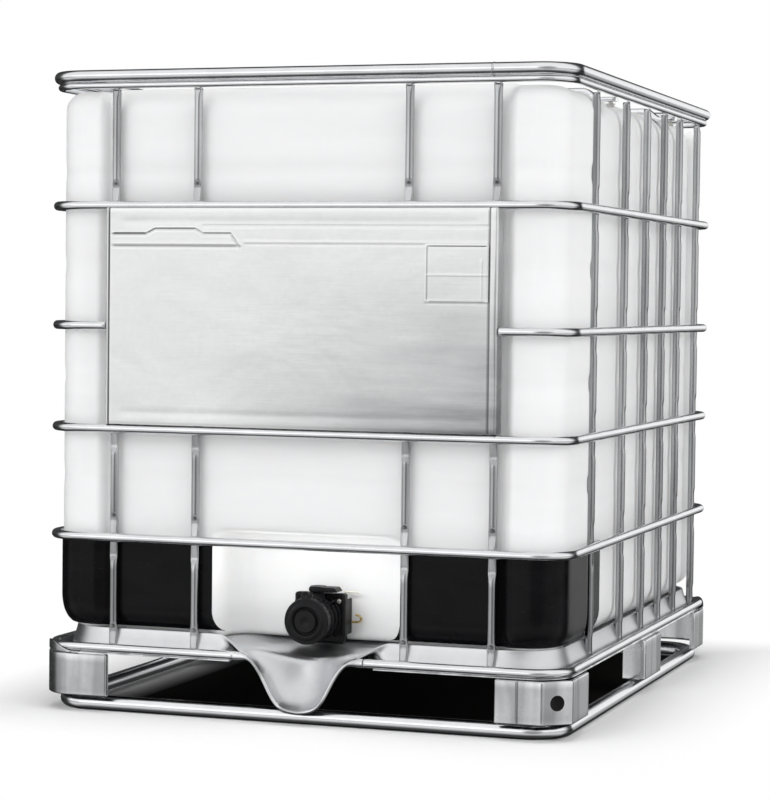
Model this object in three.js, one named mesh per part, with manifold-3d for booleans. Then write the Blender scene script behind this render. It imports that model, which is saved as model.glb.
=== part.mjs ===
// Intermediate bulk container: a plastic bottle in a tubular steel cage on a steel pallet.
// Millimetres, +Z up, origin on the floor under the middle. The outlet valve faces -Y.
import * as THREE from "three";
import { mergeVertices } from "three/addons/utils/BufferGeometryUtils.js";
import Module from "manifold-3d";

const wasm = await Module();
wasm.setup();

// Overall size. The corner feet and the label plate give the footprint, the top rail the height.
const WIDTH = 1000;
const DEPTH = 1200;
const HEIGHT = 1160;
const GAP = 0.3;

// Cage: hoops run round the outside, posts stand inside them.
const CAGE_INSET = 2;
const CAGE_CORNER = 74;
const HOOP_RADIUS = 8;
const HOOP_HEIGHTS = { hoop_2: 917, hoop_4: 516, hoop_5: 319 };
const LABEL_HOOP_HEIGHT = 701;
const TRAY_HOOP_HEIGHT = 118;
const RAIL_RADIUS = 11;
const UNDER_RAIL_RADIUS = 6;
const UNDER_RAIL_INSET = 7;
const POST_RADIUS = 7.5;
const FRONT_POSTS = [-357, -198, 198, 357];
const SIDE_POSTS = [-354, -124, 50, 202, 342, 514];
const TUBE_SIDES = 12;
const CORNER_STEPS = 5;

// Pallet: a tubular runner on the floor, formed sheet feet, and a sheet tray with a drain trough.
const RUNNER_RADIUS = 14;
const RUNNER_INSET_X = 12;
const RUNNER_INSET_Y = 18;
const RUNNER_CORNER = 80;
const SHEET = 2.5;
const FOOT_DEPTH = 45;
const FOOT_START_X = 370;
const FOOT_START_Y = 450;
const FOOT_BEVEL_SHARE = 0.4;
const FOOT_BEND_X = 455;
const FOOT_BEND_Y = 561;
const SIDE_FOOT_FROM = -10;
const SIDE_FOOT_TO = 130;
const REAR_FOOT_HALF = 70;
const TRAY_FLOOR = 135.7;
const TRAY_RIM_TOP = 152;
const TRAY_FLANGE_TOP = 109.7;
const TROUGH_HALF = 119;
const TROUGH_SHOULDER = 80;
const TROUGH_BELLY = 72;
const TROUGH_LIP_BOTTOM = 24;
const TROUGH_LIP_TOP = 119;
const TROUGH_BACK_Y = -466;

// Bottle and the pocket that holds the valve.
const BOTTLE_INSET = 38;
const BOTTLE_CORNER = 92;
const BOTTLE_EDGE = 55;
const BOTTLE_BOTTOM = 136;
const BOTTLE_TOP = 1130;
const BOTTLE_WALL = 4;
// Outside the end posts the bottle's corners swell until they lie against the insides of the hoops.
const SWELL_INSET = 22;
const SWELL_CORNER = 60;
const SWELL_TOP_EDGE = 34;
const SWELL_BOTTOM_EDGE = 58;
const SWELL_BOTTOM = 150;
const SWELL_TOP = 1124;
const SWELL_X = 371;
const SWELL_FRONT_Y = 366;
const SWELL_REAR_Y = 526;
const SWELL_RAMP = 40;
const POCKET_HALF = 177;
const POCKET_BACK_Y = -440;
const POCKET_TOP = 335;
const POCKET_CORNER = 40;
const GUARD_THICKNESS = 3;
const GUARD_BOTTOM = 156;
const GUARD_TOP = 318;
const GUARD_SIDE_Y = -238;
const GUARD_FILLET = 36;

// Label plate: a sheet between two hoops, with edges folded back round the outer front posts.
const PLATE_HALF = 367;
const PLATE_THICKNESS = 1.5;
const PLATE_TOP = 912;
const PLATE_RETURN = 34;

// Outlet valve, all round the same axis along Y. Names in _Y are places along that axis.
const OUTLET_X = 9;
const OUTLET_Z = 181;
const BORE = 25.5;
const STEM_Y = -495;
const STEM_RADIUS = 5;
const BARREL_RADIUS = 33;
const BARREL_FRONT_Y = -546;
const BARREL_REAR_Y = -455.2;
const REAR_FLANGE_RADIUS = 37.5;
const REAR_FLANGE_Y = -478;
const FACE_HALF = 48;
const FACE_TOP = 46;
const FACE_BOTTOM = 44;
const FACE_CORNER = 14;
const FACE_FRONT_Y = -486;
const FACE_REAR_Y = -470;
const CHEEK_THICKNESS = 3;
const CHEEK_REAR_Y = -447;
const CHEEK_HALF = 34;
const BOSS_RADIUS = 12;
const BOSS_TOP = 226;
const SEAT_HALF = 9;
const SEAT_INNER = 24.8;
const SEAT_OUTER = 29.3;
const DISC_RADIUS = 24.2;
const DISC_THICKNESS = 5;
const DISC_HUB_RADIUS = 8;
const SPIGOT_RADIUS = 38;
const SPIGOT_FRONT_Y = -452;
const NUT_INNER = 38.4;
const NUT_OUTER = 44.5;
const NUT_FRONT_Y = -469.6;
const NUT_REAR_Y = -442.6;
const LEVER_HUB_RADIUS = 15;
const LEVER_HUB_TOP = 239;
const LEVER_BLADE_BOTTOM = 231;
const LEVER_BLADE_TOP = 237;
const LEVER_REACH = 50;
const CAP_RADIUS = 41.5;
const CAP_FRONT_Y = -562;
const CAP_REAR_Y = -540;
const CAP_SEAT_Y = -549.4;
const CAP_LUG_HALF = 7;
const CAP_LUG_TOP = 54;
const CAP_GASKET_RADIUS = 32.5;
const CAP_GASKET_REAR_Y = -546.3;
const CLIP_Y = -452;
const CLIP_RADIUS = 2.2;
const CLIP_DROP = 10;
const CLIP_BENDS = [[0, 0], [14, 0], [20, 4], [17, 10], [10, 13]];

// Fill opening.
const NECK_RADIUS = 80;
const NECK_BORE = 74;
const NECK_TOP = 1144;
const LID_TOP = 1152;
const LID_SKIRT_BOTTOM = BOTTLE_TOP + 3;
const LID_RADIUS = 92;
const LID_WALL = 4;
const LID_GASKET = 3;
const VENT_X = 34;
const VENT_RADIUS = 18;
const VENT_GASKET_RADIUS = 23;
const VENT_GASKET = 2;
const VENT_HEAD_RADIUS = 25;

// Hold-down bars.
const BAR_Y = 250;
const BAR_HALF = 486;
const BAR_HALF_WIDTH = 13;
const BAR_THICKNESS = 12;
const BAR_STEP_IN = 424;
const BAR_STEP_OUT = 452;
const BAR_BEND_SHIFT = 3;
const BAR_BOLT_X = 474;
const BOLT_RADIUS = 4;
const BOLT_HEAD_RADIUS = 7.5;
const BOLT_HEAD = 6;

// How far cutting shapes reach past what they cut, and the trough's lengthwise slices.
const CUT_OVERRUN = 10;
const CUT_TOP = 400;
const POCKET_OPEN = 60;
const TRAY_CLEARANCE = 4;
const SHEET_PRESS = 2;
const TROUGH_SLICES = 10;

const group = new THREE.Group();
const FINISHES = {
  tube: [0xb9bdc1, 0.32, 0.95],
  sheet: [0xc6c9cc, 0.36, 0.9],
  bottle: [0xf2f2ee, 0.45, 0],
  guard: [0x0d0d0f, 0.3, 0],
  valve: [0x141517, 0.4, 0],
  seal: [0x1c1c1e, 0.8, 0],
  lid: [0x17181a, 0.45, 0],
  natural: [0xe4dfce, 0.5, 0],
  brass: [0xb08a3c, 0.35, 0.9],
};

function add(name, finish, shape) {
  const [color, roughness, metalness] = FINISHES[finish];
  const material = new THREE.MeshStandardMaterial({ color, roughness, metalness });
  const geometry = shape.isBufferGeometry ? shape : geometryOf(shape);
  const mesh = new THREE.Mesh(geometry, material);
  mesh.name = name;
  group.add(mesh);
  return mesh;
}

// Solids from geometry and back, for cutting and joining.
function solid(geometry) {
  const bare = new THREE.BufferGeometry();
  bare.setAttribute("position", geometry.getAttribute("position"));
  if (geometry.index) bare.setIndex(geometry.index);
  const merged = mergeVertices(bare, 1e-4);
  const vertProperties = merged.attributes.position.array;
  const triVerts = new Uint32Array(merged.index.array);
  return new wasm.Manifold(new wasm.Mesh({ numProp: 3, vertProperties, triVerts }));
}

function geometryOf(manifold) {
  const mesh = manifold.getMesh();
  const geometry = new THREE.BufferGeometry();
  geometry.setAttribute("position", new THREE.BufferAttribute(mesh.vertProperties, 3));
  geometry.setIndex(new THREE.BufferAttribute(mesh.triVerts, 1));
  geometry.computeVertexNormals();
  return geometry;
}

function box(x0, x1, y0, y1, z0, z1) {
  const geometry = new THREE.BoxGeometry(x1 - x0, y1 - y0, z1 - z0);
  return geometry.translate((x0 + x1) / 2, (y0 + y1) / 2, (z0 + z1) / 2);
}

// A plan outline raised from z0 to z1.
function prism(shape, z0, z1, curveSegments = CORNER_STEPS) {
  const options = { depth: z1 - z0, bevelEnabled: false, curveSegments };
  return new THREE.ExtrudeGeometry(shape, options).translate(0, 0, z0);
}

// A front outline (drawn in X and Z) run from y0 back to y1.
function frontPrism(shape, y0, y1, curveSegments = CORNER_STEPS) {
  const options = { depth: y1 - y0, bevelEnabled: false, curveSegments };
  return new THREE.ExtrudeGeometry(shape, options).rotateX(Math.PI / 2).translate(0, y1, 0);
}

function roundedRect(halfX, halfY, radius, centreX = 0, centreY = 0) {
  const shape = new THREE.Shape();
  const x = halfX - radius;
  const y = halfY - radius;
  shape.absarc(centreX + x, centreY + y, radius, 0, Math.PI / 2);
  shape.absarc(centreX - x, centreY + y, radius, Math.PI / 2, Math.PI);
  shape.absarc(centreX - x, centreY - y, radius, Math.PI, 1.5 * Math.PI);
  shape.absarc(centreX + x, centreY - y, radius, 1.5 * Math.PI, 2 * Math.PI);
  shape.closePath();
  return shape;
}

// A block with rounded upright corners, and its top and bottom edges rounded by edge.
function softBlock(halfX, halfY, corner, edge, z0, z1, steps = 4) {
  const shape = roundedRect(halfX - edge, halfY - edge, corner - edge);
  const geometry = new THREE.ExtrudeGeometry(shape, {
    depth: z1 - z0 - 2 * edge,
    bevelThickness: edge,
    bevelSize: edge,
    bevelSegments: steps,
    curveSegments: CORNER_STEPS,
  });
  return geometry.translate(0, 0, z0 + edge);
}

// Tube section with a flat at the top, the bottom and each side, all at the stated radius.
function tubeCorner(step, radius, sides) {
  const angle = ((step + 0.5) * 2 * Math.PI) / sides;
  const reach = radius / Math.cos(Math.PI / sides);
  return [reach * Math.cos(angle), reach * Math.sin(angle)];
}

function tubeSection(radius, sides = TUBE_SIDES) {
  const points = [];
  for (let i = 0; i < sides; i++) points.push(new THREE.Vector2(...tubeCorner(i, radius, sides)));
  return new THREE.Shape(points);
}

// A closed hoop: a torus whose four quarters are pulled out to the corners of a rectangle.
function hoop(halfX, halfY, corner, radius, z) {
  const perCorner = CORNER_STEPS + 1;
  const geometry = new THREE.TorusGeometry(corner, radius, TUBE_SIDES, 4 * perCorner);
  const position = geometry.getAttribute("position");
  const columns = 4 * perCorner + 1;
  for (let index = 0; index < position.count; index++) {
    const around = Math.floor(index / columns) % TUBE_SIDES;
    const along = (index % columns) % (columns - 1);
    const quarter = Math.floor(along / perCorner);
    const angle = ((quarter + (along % perCorner) / CORNER_STEPS) * Math.PI) / 2;
    const signX = quarter === 0 || quarter === 3 ? 1 : -1;
    const signY = quarter < 2 ? 1 : -1;
    const [out, up] = tubeCorner(around, radius, TUBE_SIDES);
    const reach = corner - radius + out;
    const x = signX * (halfX - corner) + reach * Math.cos(angle);
    const y = signY * (halfY - corner) + reach * Math.sin(angle);
    position.setXYZ(index, x, y, z + up);
  }
  return geometry;
}

// A path through given points, one straight step between each two.
class StationPath extends THREE.Curve {
  constructor(points) {
    super();
    this.points = points;
  }
  getPoint(t, target = new THREE.Vector3()) {
    const place = t * (this.points.length - 1);
    const index = Math.min(Math.floor(place), this.points.length - 2);
    return target.lerpVectors(this.points[index], this.points[index + 1], place - index);
  }
  getPointAt(u, target) {
    return this.getPoint(u, target);
  }
  getTangentAt(u, target) {
    return this.getTangent(u, target);
  }
}

function tubeAlong(points, radius, sides = TUBE_SIDES) {
  const options = { steps: points.length - 1, extrudePath: new StationPath(points) };
  return new THREE.ExtrudeGeometry(tubeSection(radius, sides), options);
}

// A hoop that is open at the front between x = from and x = to.
function openHoop(halfX, halfY, corner, radius, z, from, to) {
  const points = [new THREE.Vector3(to, radius - halfY, z)];
  for (let quarter = 0; quarter < 4; quarter++) {
    const signX = quarter < 2 ? 1 : -1;
    const signY = quarter === 0 || quarter === 3 ? -1 : 1;
    for (let step = 0; step <= CORNER_STEPS; step++) {
      const angle = ((quarter - 1 + step / CORNER_STEPS) * Math.PI) / 2;
      const x = signX * (halfX - corner) + (corner - radius) * Math.cos(angle);
      const y = signY * (halfY - corner) + (corner - radius) * Math.sin(angle);
      points.push(new THREE.Vector3(x, y, z));
    }
  }
  points.push(new THREE.Vector3(from, radius - halfY, z));
  return tubeAlong(points, radius);
}

// A rod or ring from a closed profile of [radius, height] points, turned round Z.
function turned(profile, segments = 24) {
  const points = profile.map(([radius, height]) => new THREE.Vector2(radius, height));
  points.push(points[0].clone());
  return new THREE.LatheGeometry(points, segments).rotateX(Math.PI / 2);
}

// The same, turned round the outlet's axis, with heights counted along Y.
function turnedAlongOutlet(profile, segments = 24) {
  const geometry = turned(profile, segments).rotateX(-Math.PI / 2);
  return geometry.translate(OUTLET_X, 0, OUTLET_Z);
}

function rod(radius, x, y, z0, z1, sides = TUBE_SIDES) {
  const geometry = new THREE.CylinderGeometry(radius, radius, z1 - z0, sides);
  return geometry.rotateX(Math.PI / 2).translate(x, y, (z0 + z1) / 2);
}

// ---- Cage ----
const cageX = WIDTH / 2 - CAGE_INSET;
const cageY = DEPTH / 2 - CAGE_INSET;
const railHeight = HEIGHT - RAIL_RADIUS;
const underRailHeight = railHeight - RAIL_RADIUS - GAP - UNDER_RAIL_RADIUS;
const postX = cageX - 2 * HOOP_RADIUS - GAP - POST_RADIUS;
const postY = cageY - 2 * HOOP_RADIUS - GAP - POST_RADIUS;
const postTop = underRailHeight - UNDER_RAIL_RADIUS - GAP;
const postBottom = TRAY_FLANGE_TOP + GAP;

function buildHoops() {
  add("top_rail", "tube", hoop(cageX, cageY, CAGE_CORNER, RAIL_RADIUS, railHeight));
  const underX = cageX - UNDER_RAIL_INSET;
  const underY = cageY - UNDER_RAIL_INSET;
  const underCorner = CAGE_CORNER - UNDER_RAIL_INSET;
  add("under_rail", "tube", hoop(underX, underY, underCorner, UNDER_RAIL_RADIUS, underRailHeight));
  for (const [name, z] of Object.entries(HOOP_HEIGHTS)) {
    add(name, "tube", hoop(cageX, cageY, CAGE_CORNER, HOOP_RADIUS, z));
  }
  const labelEnd = PLATE_HALF + 2 * GAP;
  const labelHoop = [LABEL_HOOP_HEIGHT, -labelEnd, labelEnd];
  add("hoop_3", "tube", openHoop(cageX, cageY, CAGE_CORNER, HOOP_RADIUS, ...labelHoop));
  const reach = TROUGH_HALF + SHEET + 2 * GAP;
  const trayHoop = [TRAY_HOOP_HEIGHT, OUTLET_X - reach, OUTLET_X + reach];
  add("hoop_6", "tube", openHoop(cageX, cageY, CAGE_CORNER, HOOP_RADIUS, ...trayHoop));
}

function buildPosts() {
  const post = (name, x, y) => add(name, "tube", rod(POST_RADIUS, x, y, postBottom, postTop));
  FRONT_POSTS.forEach((x, i) => {
    post(`front_post_${i + 1}`, x, -postY);
    post(`rear_post_${i + 1}`, x, postY);
  });
  SIDE_POSTS.forEach((y, i) => {
    post(`left_post_${i + 1}`, -postX, y);
    post(`right_post_${i + 1}`, postX, y);
  });
}

function buildLabelPlate() {
  const front = -DEPTH / 2;
  const bottom = HOOP_HEIGHTS.hoop_4 + HOOP_RADIUS + GAP;
  const foldTop = HOOP_HEIGHTS.hoop_2 - HOOP_RADIUS - GAP;
  const back = front + PLATE_THICKNESS;
  let plate = solid(box(-PLATE_HALF, PLATE_HALF, front, back, bottom, PLATE_TOP));
  for (const side of [-1, 1]) {
    const outer = side * PLATE_HALF;
    const inner = side * (PLATE_HALF - PLATE_THICKNESS);
    const [x0, x1] = side < 0 ? [outer, inner] : [inner, outer];
    plate = plate.add(solid(box(x0, x1, front, front + PLATE_RETURN, bottom, foldTop)));
  }
  add("label_plate", "sheet", plate);
}

// ---- Pallet ----
function buildRunner() {
  const x = WIDTH / 2 - RUNNER_INSET_X;
  const y = DEPTH / 2 - RUNNER_INSET_Y;
  add("floor_runner", "tube", hoop(x, y, RUNNER_CORNER, RUNNER_RADIUS, RUNNER_RADIUS));
}

const footBottom = 2 * RUNNER_RADIUS + GAP;
const footTop = TRAY_FLANGE_TOP - SHEET - GAP;

// The corner foot's outline in plan, set in by a distance, for the corner at +X, +Y.
function footOutline(inset, depth, overrun) {
  const bevel = inset * FOOT_BEVEL_SHARE;
  const outer = [
    [FOOT_START_X - overrun, DEPTH / 2 - inset],
    [FOOT_BEND_X - bevel, DEPTH / 2 - inset],
    [WIDTH / 2 - inset, FOOT_BEND_Y - bevel],
    [WIDTH / 2 - inset, FOOT_START_Y - overrun],
  ];
  const inner = [
    [WIDTH / 2 - depth, FOOT_START_Y - overrun],
    [WIDTH / 2 - depth, DEPTH / 2 - depth],
    [FOOT_START_X - overrun, DEPTH / 2 - depth],
  ];
  return [...outer, ...inner];
}

function planShape(points, signX, signY) {
  const placed = points.map(([x, y]) => new THREE.Vector2(signX * x, signY * y));
  return new THREE.Shape(placed);
}

function buildCornerFeet() {
  for (const [end, signY] of [["front", -1], ["rear", 1]]) {
    for (const [side, signX] of [["left", -1], ["right", 1]]) {
      const skin = planShape(footOutline(0, FOOT_DEPTH, 0), signX, signY);
      const hollow = planShape(footOutline(SHEET, FOOT_DEPTH + 1, 1), signX, signY);
      const cut = solid(prism(hollow, footBottom + SHEET, footTop - SHEET));
      const foot = solid(prism(skin, footBottom, footTop)).subtract(cut);
      add(`${end}_${side}_foot`, "sheet", foot);
    }
  }
}

// A channel-shaped foot, open on its inner side.
function channelFoot(outer, hollow) {
  return solid(box(...outer, footBottom, footTop)).subtract(
    solid(box(...hollow, footBottom + SHEET, footTop - SHEET)),
  );
}

function buildMiddleFeet() {
  const x = WIDTH / 2;
  const y = DEPTH / 2;
  const [from, to] = [SIDE_FOOT_FROM, SIDE_FOOT_TO];
  const right = [x - FOOT_DEPTH, x, from, to];
  const rightHollow = [x - FOOT_DEPTH - 1, x - SHEET, from + SHEET, to - SHEET];
  add("right_middle_foot", "sheet", channelFoot(right, rightHollow));
  const left = [-x, FOOT_DEPTH - x, from, to];
  const leftHollow = [SHEET - x, FOOT_DEPTH - x + 1, from + SHEET, to - SHEET];
  add("left_middle_foot", "sheet", channelFoot(left, leftHollow));
  const half = REAR_FOOT_HALF;
  const rear = [-half, half, y - FOOT_DEPTH, y];
  const rearHollow = [SHEET - half, half - SHEET, y - FOOT_DEPTH - 1, y - SHEET];
  add("rear_middle_foot", "sheet", channelFoot(rear, rearHollow));
}

// The trough's section at the lip: a flared U, open at the top, up to a given height.
function troughShape(grow, top) {
  const half = TROUGH_HALF + grow;
  const bottom = TROUGH_LIP_BOTTOM - grow;
  const rim = TROUGH_LIP_TOP;
  const shape = new THREE.Shape();
  shape.moveTo(OUTLET_X - half, top);
  shape.lineTo(OUTLET_X - half, rim);
  const [shoulder, belly] = [TROUGH_SHOULDER, TROUGH_BELLY + grow];
  shape.bezierCurveTo(OUTLET_X - shoulder, rim, OUTLET_X - belly, bottom, OUTLET_X, bottom);
  shape.bezierCurveTo(OUTLET_X + belly, bottom, OUTLET_X + shoulder, rim, OUTLET_X + half, rim);
  shape.lineTo(OUTLET_X + half, top);
  shape.closePath();
  return shape;
}

// The trough rises towards the back until it meets the tray's floor.
function troughSolid(grow, top) {
  const front = -DEPTH / 2 - (grow ? 0 : 1);
  const rise = (TRAY_FLOOR - TROUGH_LIP_BOTTOM) / (TROUGH_BACK_Y + DEPTH / 2);
  const slope = new THREE.Matrix4().set(1, 0, 0, 0, 0, 1, 0, 0, 0, rise, 1, (rise * DEPTH) / 2, 0, 0, 0, 1);
  const geometry = frontPrism(troughShape(grow, top), front, TROUGH_BACK_Y + CUT_OVERRUN, TROUGH_SLICES);
  return solid(geometry.applyMatrix4(slope));
}

function buildTray() {
  const wallX = WIDTH / 2 - BOTTLE_INSET + TRAY_CLEARANCE;
  const wallY = DEPTH / 2 - BOTTLE_INSET + TRAY_CLEARANCE;
  const flangeX = cageX - 1;
  const flangeY = cageY - 1;
  const bottom = TRAY_FLANGE_TOP - SHEET;
  const outline = roundedRect(wallX, wallY, BOTTLE_CORNER + TRAY_CLEARANCE);
  const inside = roundedRect(wallX - SHEET, wallY - SHEET, BOTTLE_CORNER + TRAY_CLEARANCE - SHEET);
  const opening = roundedRect(wallX - 1, wallY - 1, BOTTLE_CORNER + TRAY_CLEARANCE - 1);
  const skirt = solid(prism(outline, bottom, TRAY_RIM_TOP));
  const hollowAbove = solid(prism(inside, TRAY_FLOOR, TRAY_RIM_TOP + 1));
  const hollowBelow = solid(prism(inside, bottom - 1, TRAY_FLOOR - SHEET));
  const flangeHole = solid(prism(opening, bottom - 1, TRAY_FLANGE_TOP + 1));
  const flange = solid(prism(roundedRect(flangeX, flangeY, CAGE_CORNER - 1), bottom, TRAY_FLANGE_TOP));
  const pan = skirt.subtract(hollowAbove).subtract(hollowBelow).add(flange.subtract(flangeHole));
  const wallFront = -wallY + SHEET;
  const lipBlock = solid(box(-WIDTH / 2, WIDTH / 2, -DEPTH / 2, wallFront, 0, TROUGH_LIP_TOP + SHEET_PRESS));
  const troughEnd = TROUGH_BACK_Y + CUT_OVERRUN;
  const floorBlock = solid(box(-WIDTH / 2, WIDTH / 2, wallFront - 1, troughEnd, 0, TRAY_FLOOR));
  const outer = troughSolid(SHEET, CUT_TOP);
  const trough = outer.intersect(lipBlock.add(floorBlock));
  add("tray", "sheet", pan.add(trough).subtract(troughSolid(0, CUT_TOP + CUT_OVERRUN)));
}

// ---- Bottle ----
const bottleX = WIDTH / 2 - BOTTLE_INSET;
const bottleY = DEPTH / 2 - BOTTLE_INSET;

function pocketSolid(grow) {
  const front = -DEPTH / 2 - POCKET_OPEN;
  const back = POCKET_BACK_Y + grow;
  const half = POCKET_HALF + grow;
  const middle = (front + back) / 2;
  const outline = roundedRect(half, (back - front) / 2, POCKET_CORNER + grow, OUTLET_X, middle);
  return solid(prism(outline, BOTTLE_BOTTOM - POCKET_OPEN, POCKET_TOP + grow));
}

// One corner's share of the swelling: everything beyond two ramps, one in the end face and one in the side.
function swellRegion(signX, signY, grow) {
  const fromX = SWELL_X - grow;
  const fromY = (signY < 0 ? SWELL_FRONT_Y : SWELL_REAR_Y) - grow;
  const points = [
    [fromX, fromY],
    [fromX, bottleY],
    [fromX + SWELL_RAMP, bottleY + SWELL_RAMP],
    [bottleX + SWELL_RAMP, bottleY + SWELL_RAMP],
    [bottleX + SWELL_RAMP, fromY + SWELL_RAMP],
    [bottleX, fromY],
  ];
  const outline = new THREE.Shape(points.map(([x, y]) => new THREE.Vector2(signX * x, signY * y)));
  return solid(prism(outline, 0, HEIGHT));
}

// The bottle's outside, made larger or smaller all round.
function bottleSkin(grow) {
  const body = softBlock(
    bottleX + grow,
    bottleY + grow,
    BOTTLE_CORNER + grow,
    BOTTLE_EDGE + grow,
    BOTTLE_BOTTOM - grow,
    BOTTLE_TOP + grow,
  );
  const swollen = (edge, bottom, top) => {
    const halfX = WIDTH / 2 - SWELL_INSET + grow;
    const halfY = DEPTH / 2 - SWELL_INSET + grow;
    return solid(softBlock(halfX, halfY, SWELL_CORNER + grow, edge + grow, bottom, top));
  };
  const upper = swollen(SWELL_TOP_EDGE, 0, SWELL_TOP + grow);
  const lower = swollen(SWELL_BOTTOM_EDGE, SWELL_BOTTOM - grow, 2 * HEIGHT);
  const block = upper.intersect(lower);
  const corners = [[-1, -1], [1, -1], [1, 1], [-1, 1]];
  return corners.reduce(
    (skin, [signX, signY]) => skin.add(block.intersect(swellRegion(signX, signY, grow))),
    solid(body),
  );
}

function buildBottle() {
  const wall = BOTTLE_WALL;
  const neck = solid(rod(NECK_RADIUS, 0, 0, BOTTLE_TOP - wall, NECK_TOP, 32));
  const neckBore = solid(rod(NECK_BORE, 0, 0, BOTTLE_TOP - 2 * wall, NECK_TOP + 1, 32));
  const spigot = band(0, SPIGOT_RADIUS, SPIGOT_FRONT_Y, POCKET_BACK_Y + 3);
  const spigotBore = band(0, BORE, SPIGOT_FRONT_Y - 1, POCKET_BACK_Y + 6);
  const cavity = bottleSkin(-wall).subtract(pocketSolid(wall));
  const shell = bottleSkin(0).subtract(pocketSolid(0)).subtract(cavity);
  add("bottle", "bottle", shell.add(neck).add(spigot).subtract(neckBore).subtract(spigotBore));
}

// Black guards over the bottle's lower front corners, either side of the valve pocket.
function buildCornerGuards() {
  const shell = bottleSkin(GAP + GUARD_THICKNESS).subtract(bottleSkin(GAP));
  for (const [name, sign] of [["left", -1], ["right", 1]]) {
    const edge = OUTLET_X + sign * (POCKET_HALF + 1);
    const far = sign * WIDTH;
    const outline = new THREE.Shape();
    outline.moveTo(edge, GUARD_TOP);
    outline.lineTo(edge, GUARD_BOTTOM + GUARD_FILLET);
    outline.quadraticCurveTo(edge, GUARD_BOTTOM, edge - sign * GUARD_FILLET * 0.6, GUARD_BOTTOM);
    outline.lineTo(far, GUARD_BOTTOM);
    outline.lineTo(far, GUARD_TOP);
    outline.closePath();
    const region = solid(frontPrism(outline, -DEPTH, GUARD_SIDE_Y));
    add(`${name}_corner_guard`, "guard", shell.intersect(region));
  }
}

// ---- Outlet valve ----
// A closed ring or disc section between two radii and two places along the outlet's axis.
function band(inner, outer, fromY, toY, segments) {
  const profile = [[inner, fromY], [outer, fromY], [outer, toY], [inner, toY]];
  return solid(turnedAlongOutlet(profile, segments));
}

function stemRod(radius, z0, z1) {
  return solid(rod(radius, OUTLET_X, STEM_Y, z0, z1, 16));
}

function facePlate() {
  const corner = FACE_CORNER;
  const low = corner - FACE_BOTTOM;
  const outline = new THREE.Shape();
  outline.moveTo(-FACE_HALF, FACE_TOP);
  outline.lineTo(-FACE_HALF, low);
  outline.absarc(corner - FACE_HALF, low, corner, Math.PI, 1.5 * Math.PI);
  outline.absarc(FACE_HALF - corner, low, corner, 1.5 * Math.PI, 2 * Math.PI);
  outline.lineTo(FACE_HALF, FACE_TOP);
  outline.closePath();
  return solid(frontPrism(outline, FACE_FRONT_Y, FACE_REAR_Y).translate(OUTLET_X, 0, OUTLET_Z));
}

function buildValve() {
  const stemHole = STEM_RADIUS + GAP;
  const right = OUTLET_X + FACE_HALF;
  const cheekSpan = [OUTLET_Z - CHEEK_HALF, OUTLET_Z + CHEEK_HALF];
  const cheek = solid(box(right - CHEEK_THICKNESS, right, FACE_FRONT_Y + 1, CHEEK_REAR_Y, ...cheekSpan));
  const seatFront = STEM_Y - SEAT_HALF;
  const seatRear = STEM_Y + SEAT_HALF;
  const housing = facePlate()
    .add(cheek)
    .add(band(0, BARREL_RADIUS, BARREL_FRONT_Y, BARREL_REAR_Y))
    .add(band(0, REAR_FLANGE_RADIUS, REAR_FLANGE_Y, BARREL_REAR_Y))
    .add(stemRod(BOSS_RADIUS, OUTLET_Z, BOSS_TOP))
    .subtract(band(0, BORE, BARREL_FRONT_Y - 1, BARREL_REAR_Y + 1))
    .subtract(band(0, SEAT_OUTER, seatFront, seatRear))
    .subtract(stemRod(stemHole, OUTLET_Z, BOSS_TOP + 1))
    .subtract(stemRod(stemHole, OUTLET_Z - BARREL_RADIUS + 1, OUTLET_Z));
  add("valve_body", "valve", housing);

  const seatRing = band(SEAT_INNER, SEAT_OUTER - GAP, seatFront + GAP, seatRear - GAP);
  const stemSpan = [OUTLET_Z - BARREL_RADIUS, OUTLET_Z + BARREL_RADIUS];
  add("valve_seat", "seal", seatRing.subtract(stemRod(stemHole, ...stemSpan)));

  const disc = band(0, DISC_RADIUS, STEM_Y - DISC_THICKNESS / 2, STEM_Y + DISC_THICKNESS / 2);
  const hubHalf = DISC_RADIUS - DISC_THICKNESS / 2;
  const hub = stemRod(DISC_HUB_RADIUS, OUTLET_Z - hubHalf, OUTLET_Z + hubHalf);
  add("valve_disc", "natural", disc.add(hub).subtract(stemRod(stemHole, ...stemSpan)));
  const stemBottom = OUTLET_Z - BARREL_RADIUS + 2;
  add("valve_stem", "natural", stemRod(STEM_RADIUS, stemBottom, LEVER_BLADE_TOP - 1));

  const sealSpan = [BARREL_REAR_Y + GAP, SPIGOT_FRONT_Y - GAP];
  add("outlet_seal", "seal", band(BORE + 1.5, SPIGOT_RADIUS - 1, ...sealSpan));
  add("outlet_nut", "valve", band(NUT_INNER, NUT_OUTER, NUT_FRONT_Y, NUT_REAR_Y));
}

// The lever lies across the valve when closed and points forward when open.
function buildLever() {
  const half = LEVER_HUB_RADIUS;
  const hub = stemRod(half, BOSS_TOP + 1, LEVER_HUB_TOP);
  const bladeSpan = [OUTLET_X, OUTLET_X + LEVER_REACH, STEM_Y - half, STEM_Y + half];
  const blade = solid(box(...bladeSpan, LEVER_BLADE_BOTTOM, LEVER_BLADE_TOP));
  const socket = stemRod(STEM_RADIUS + GAP, BOSS_TOP, LEVER_BLADE_TOP - 1 + GAP);
  add("valve_lever", "valve", hub.add(blade).subtract(socket));
}

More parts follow.
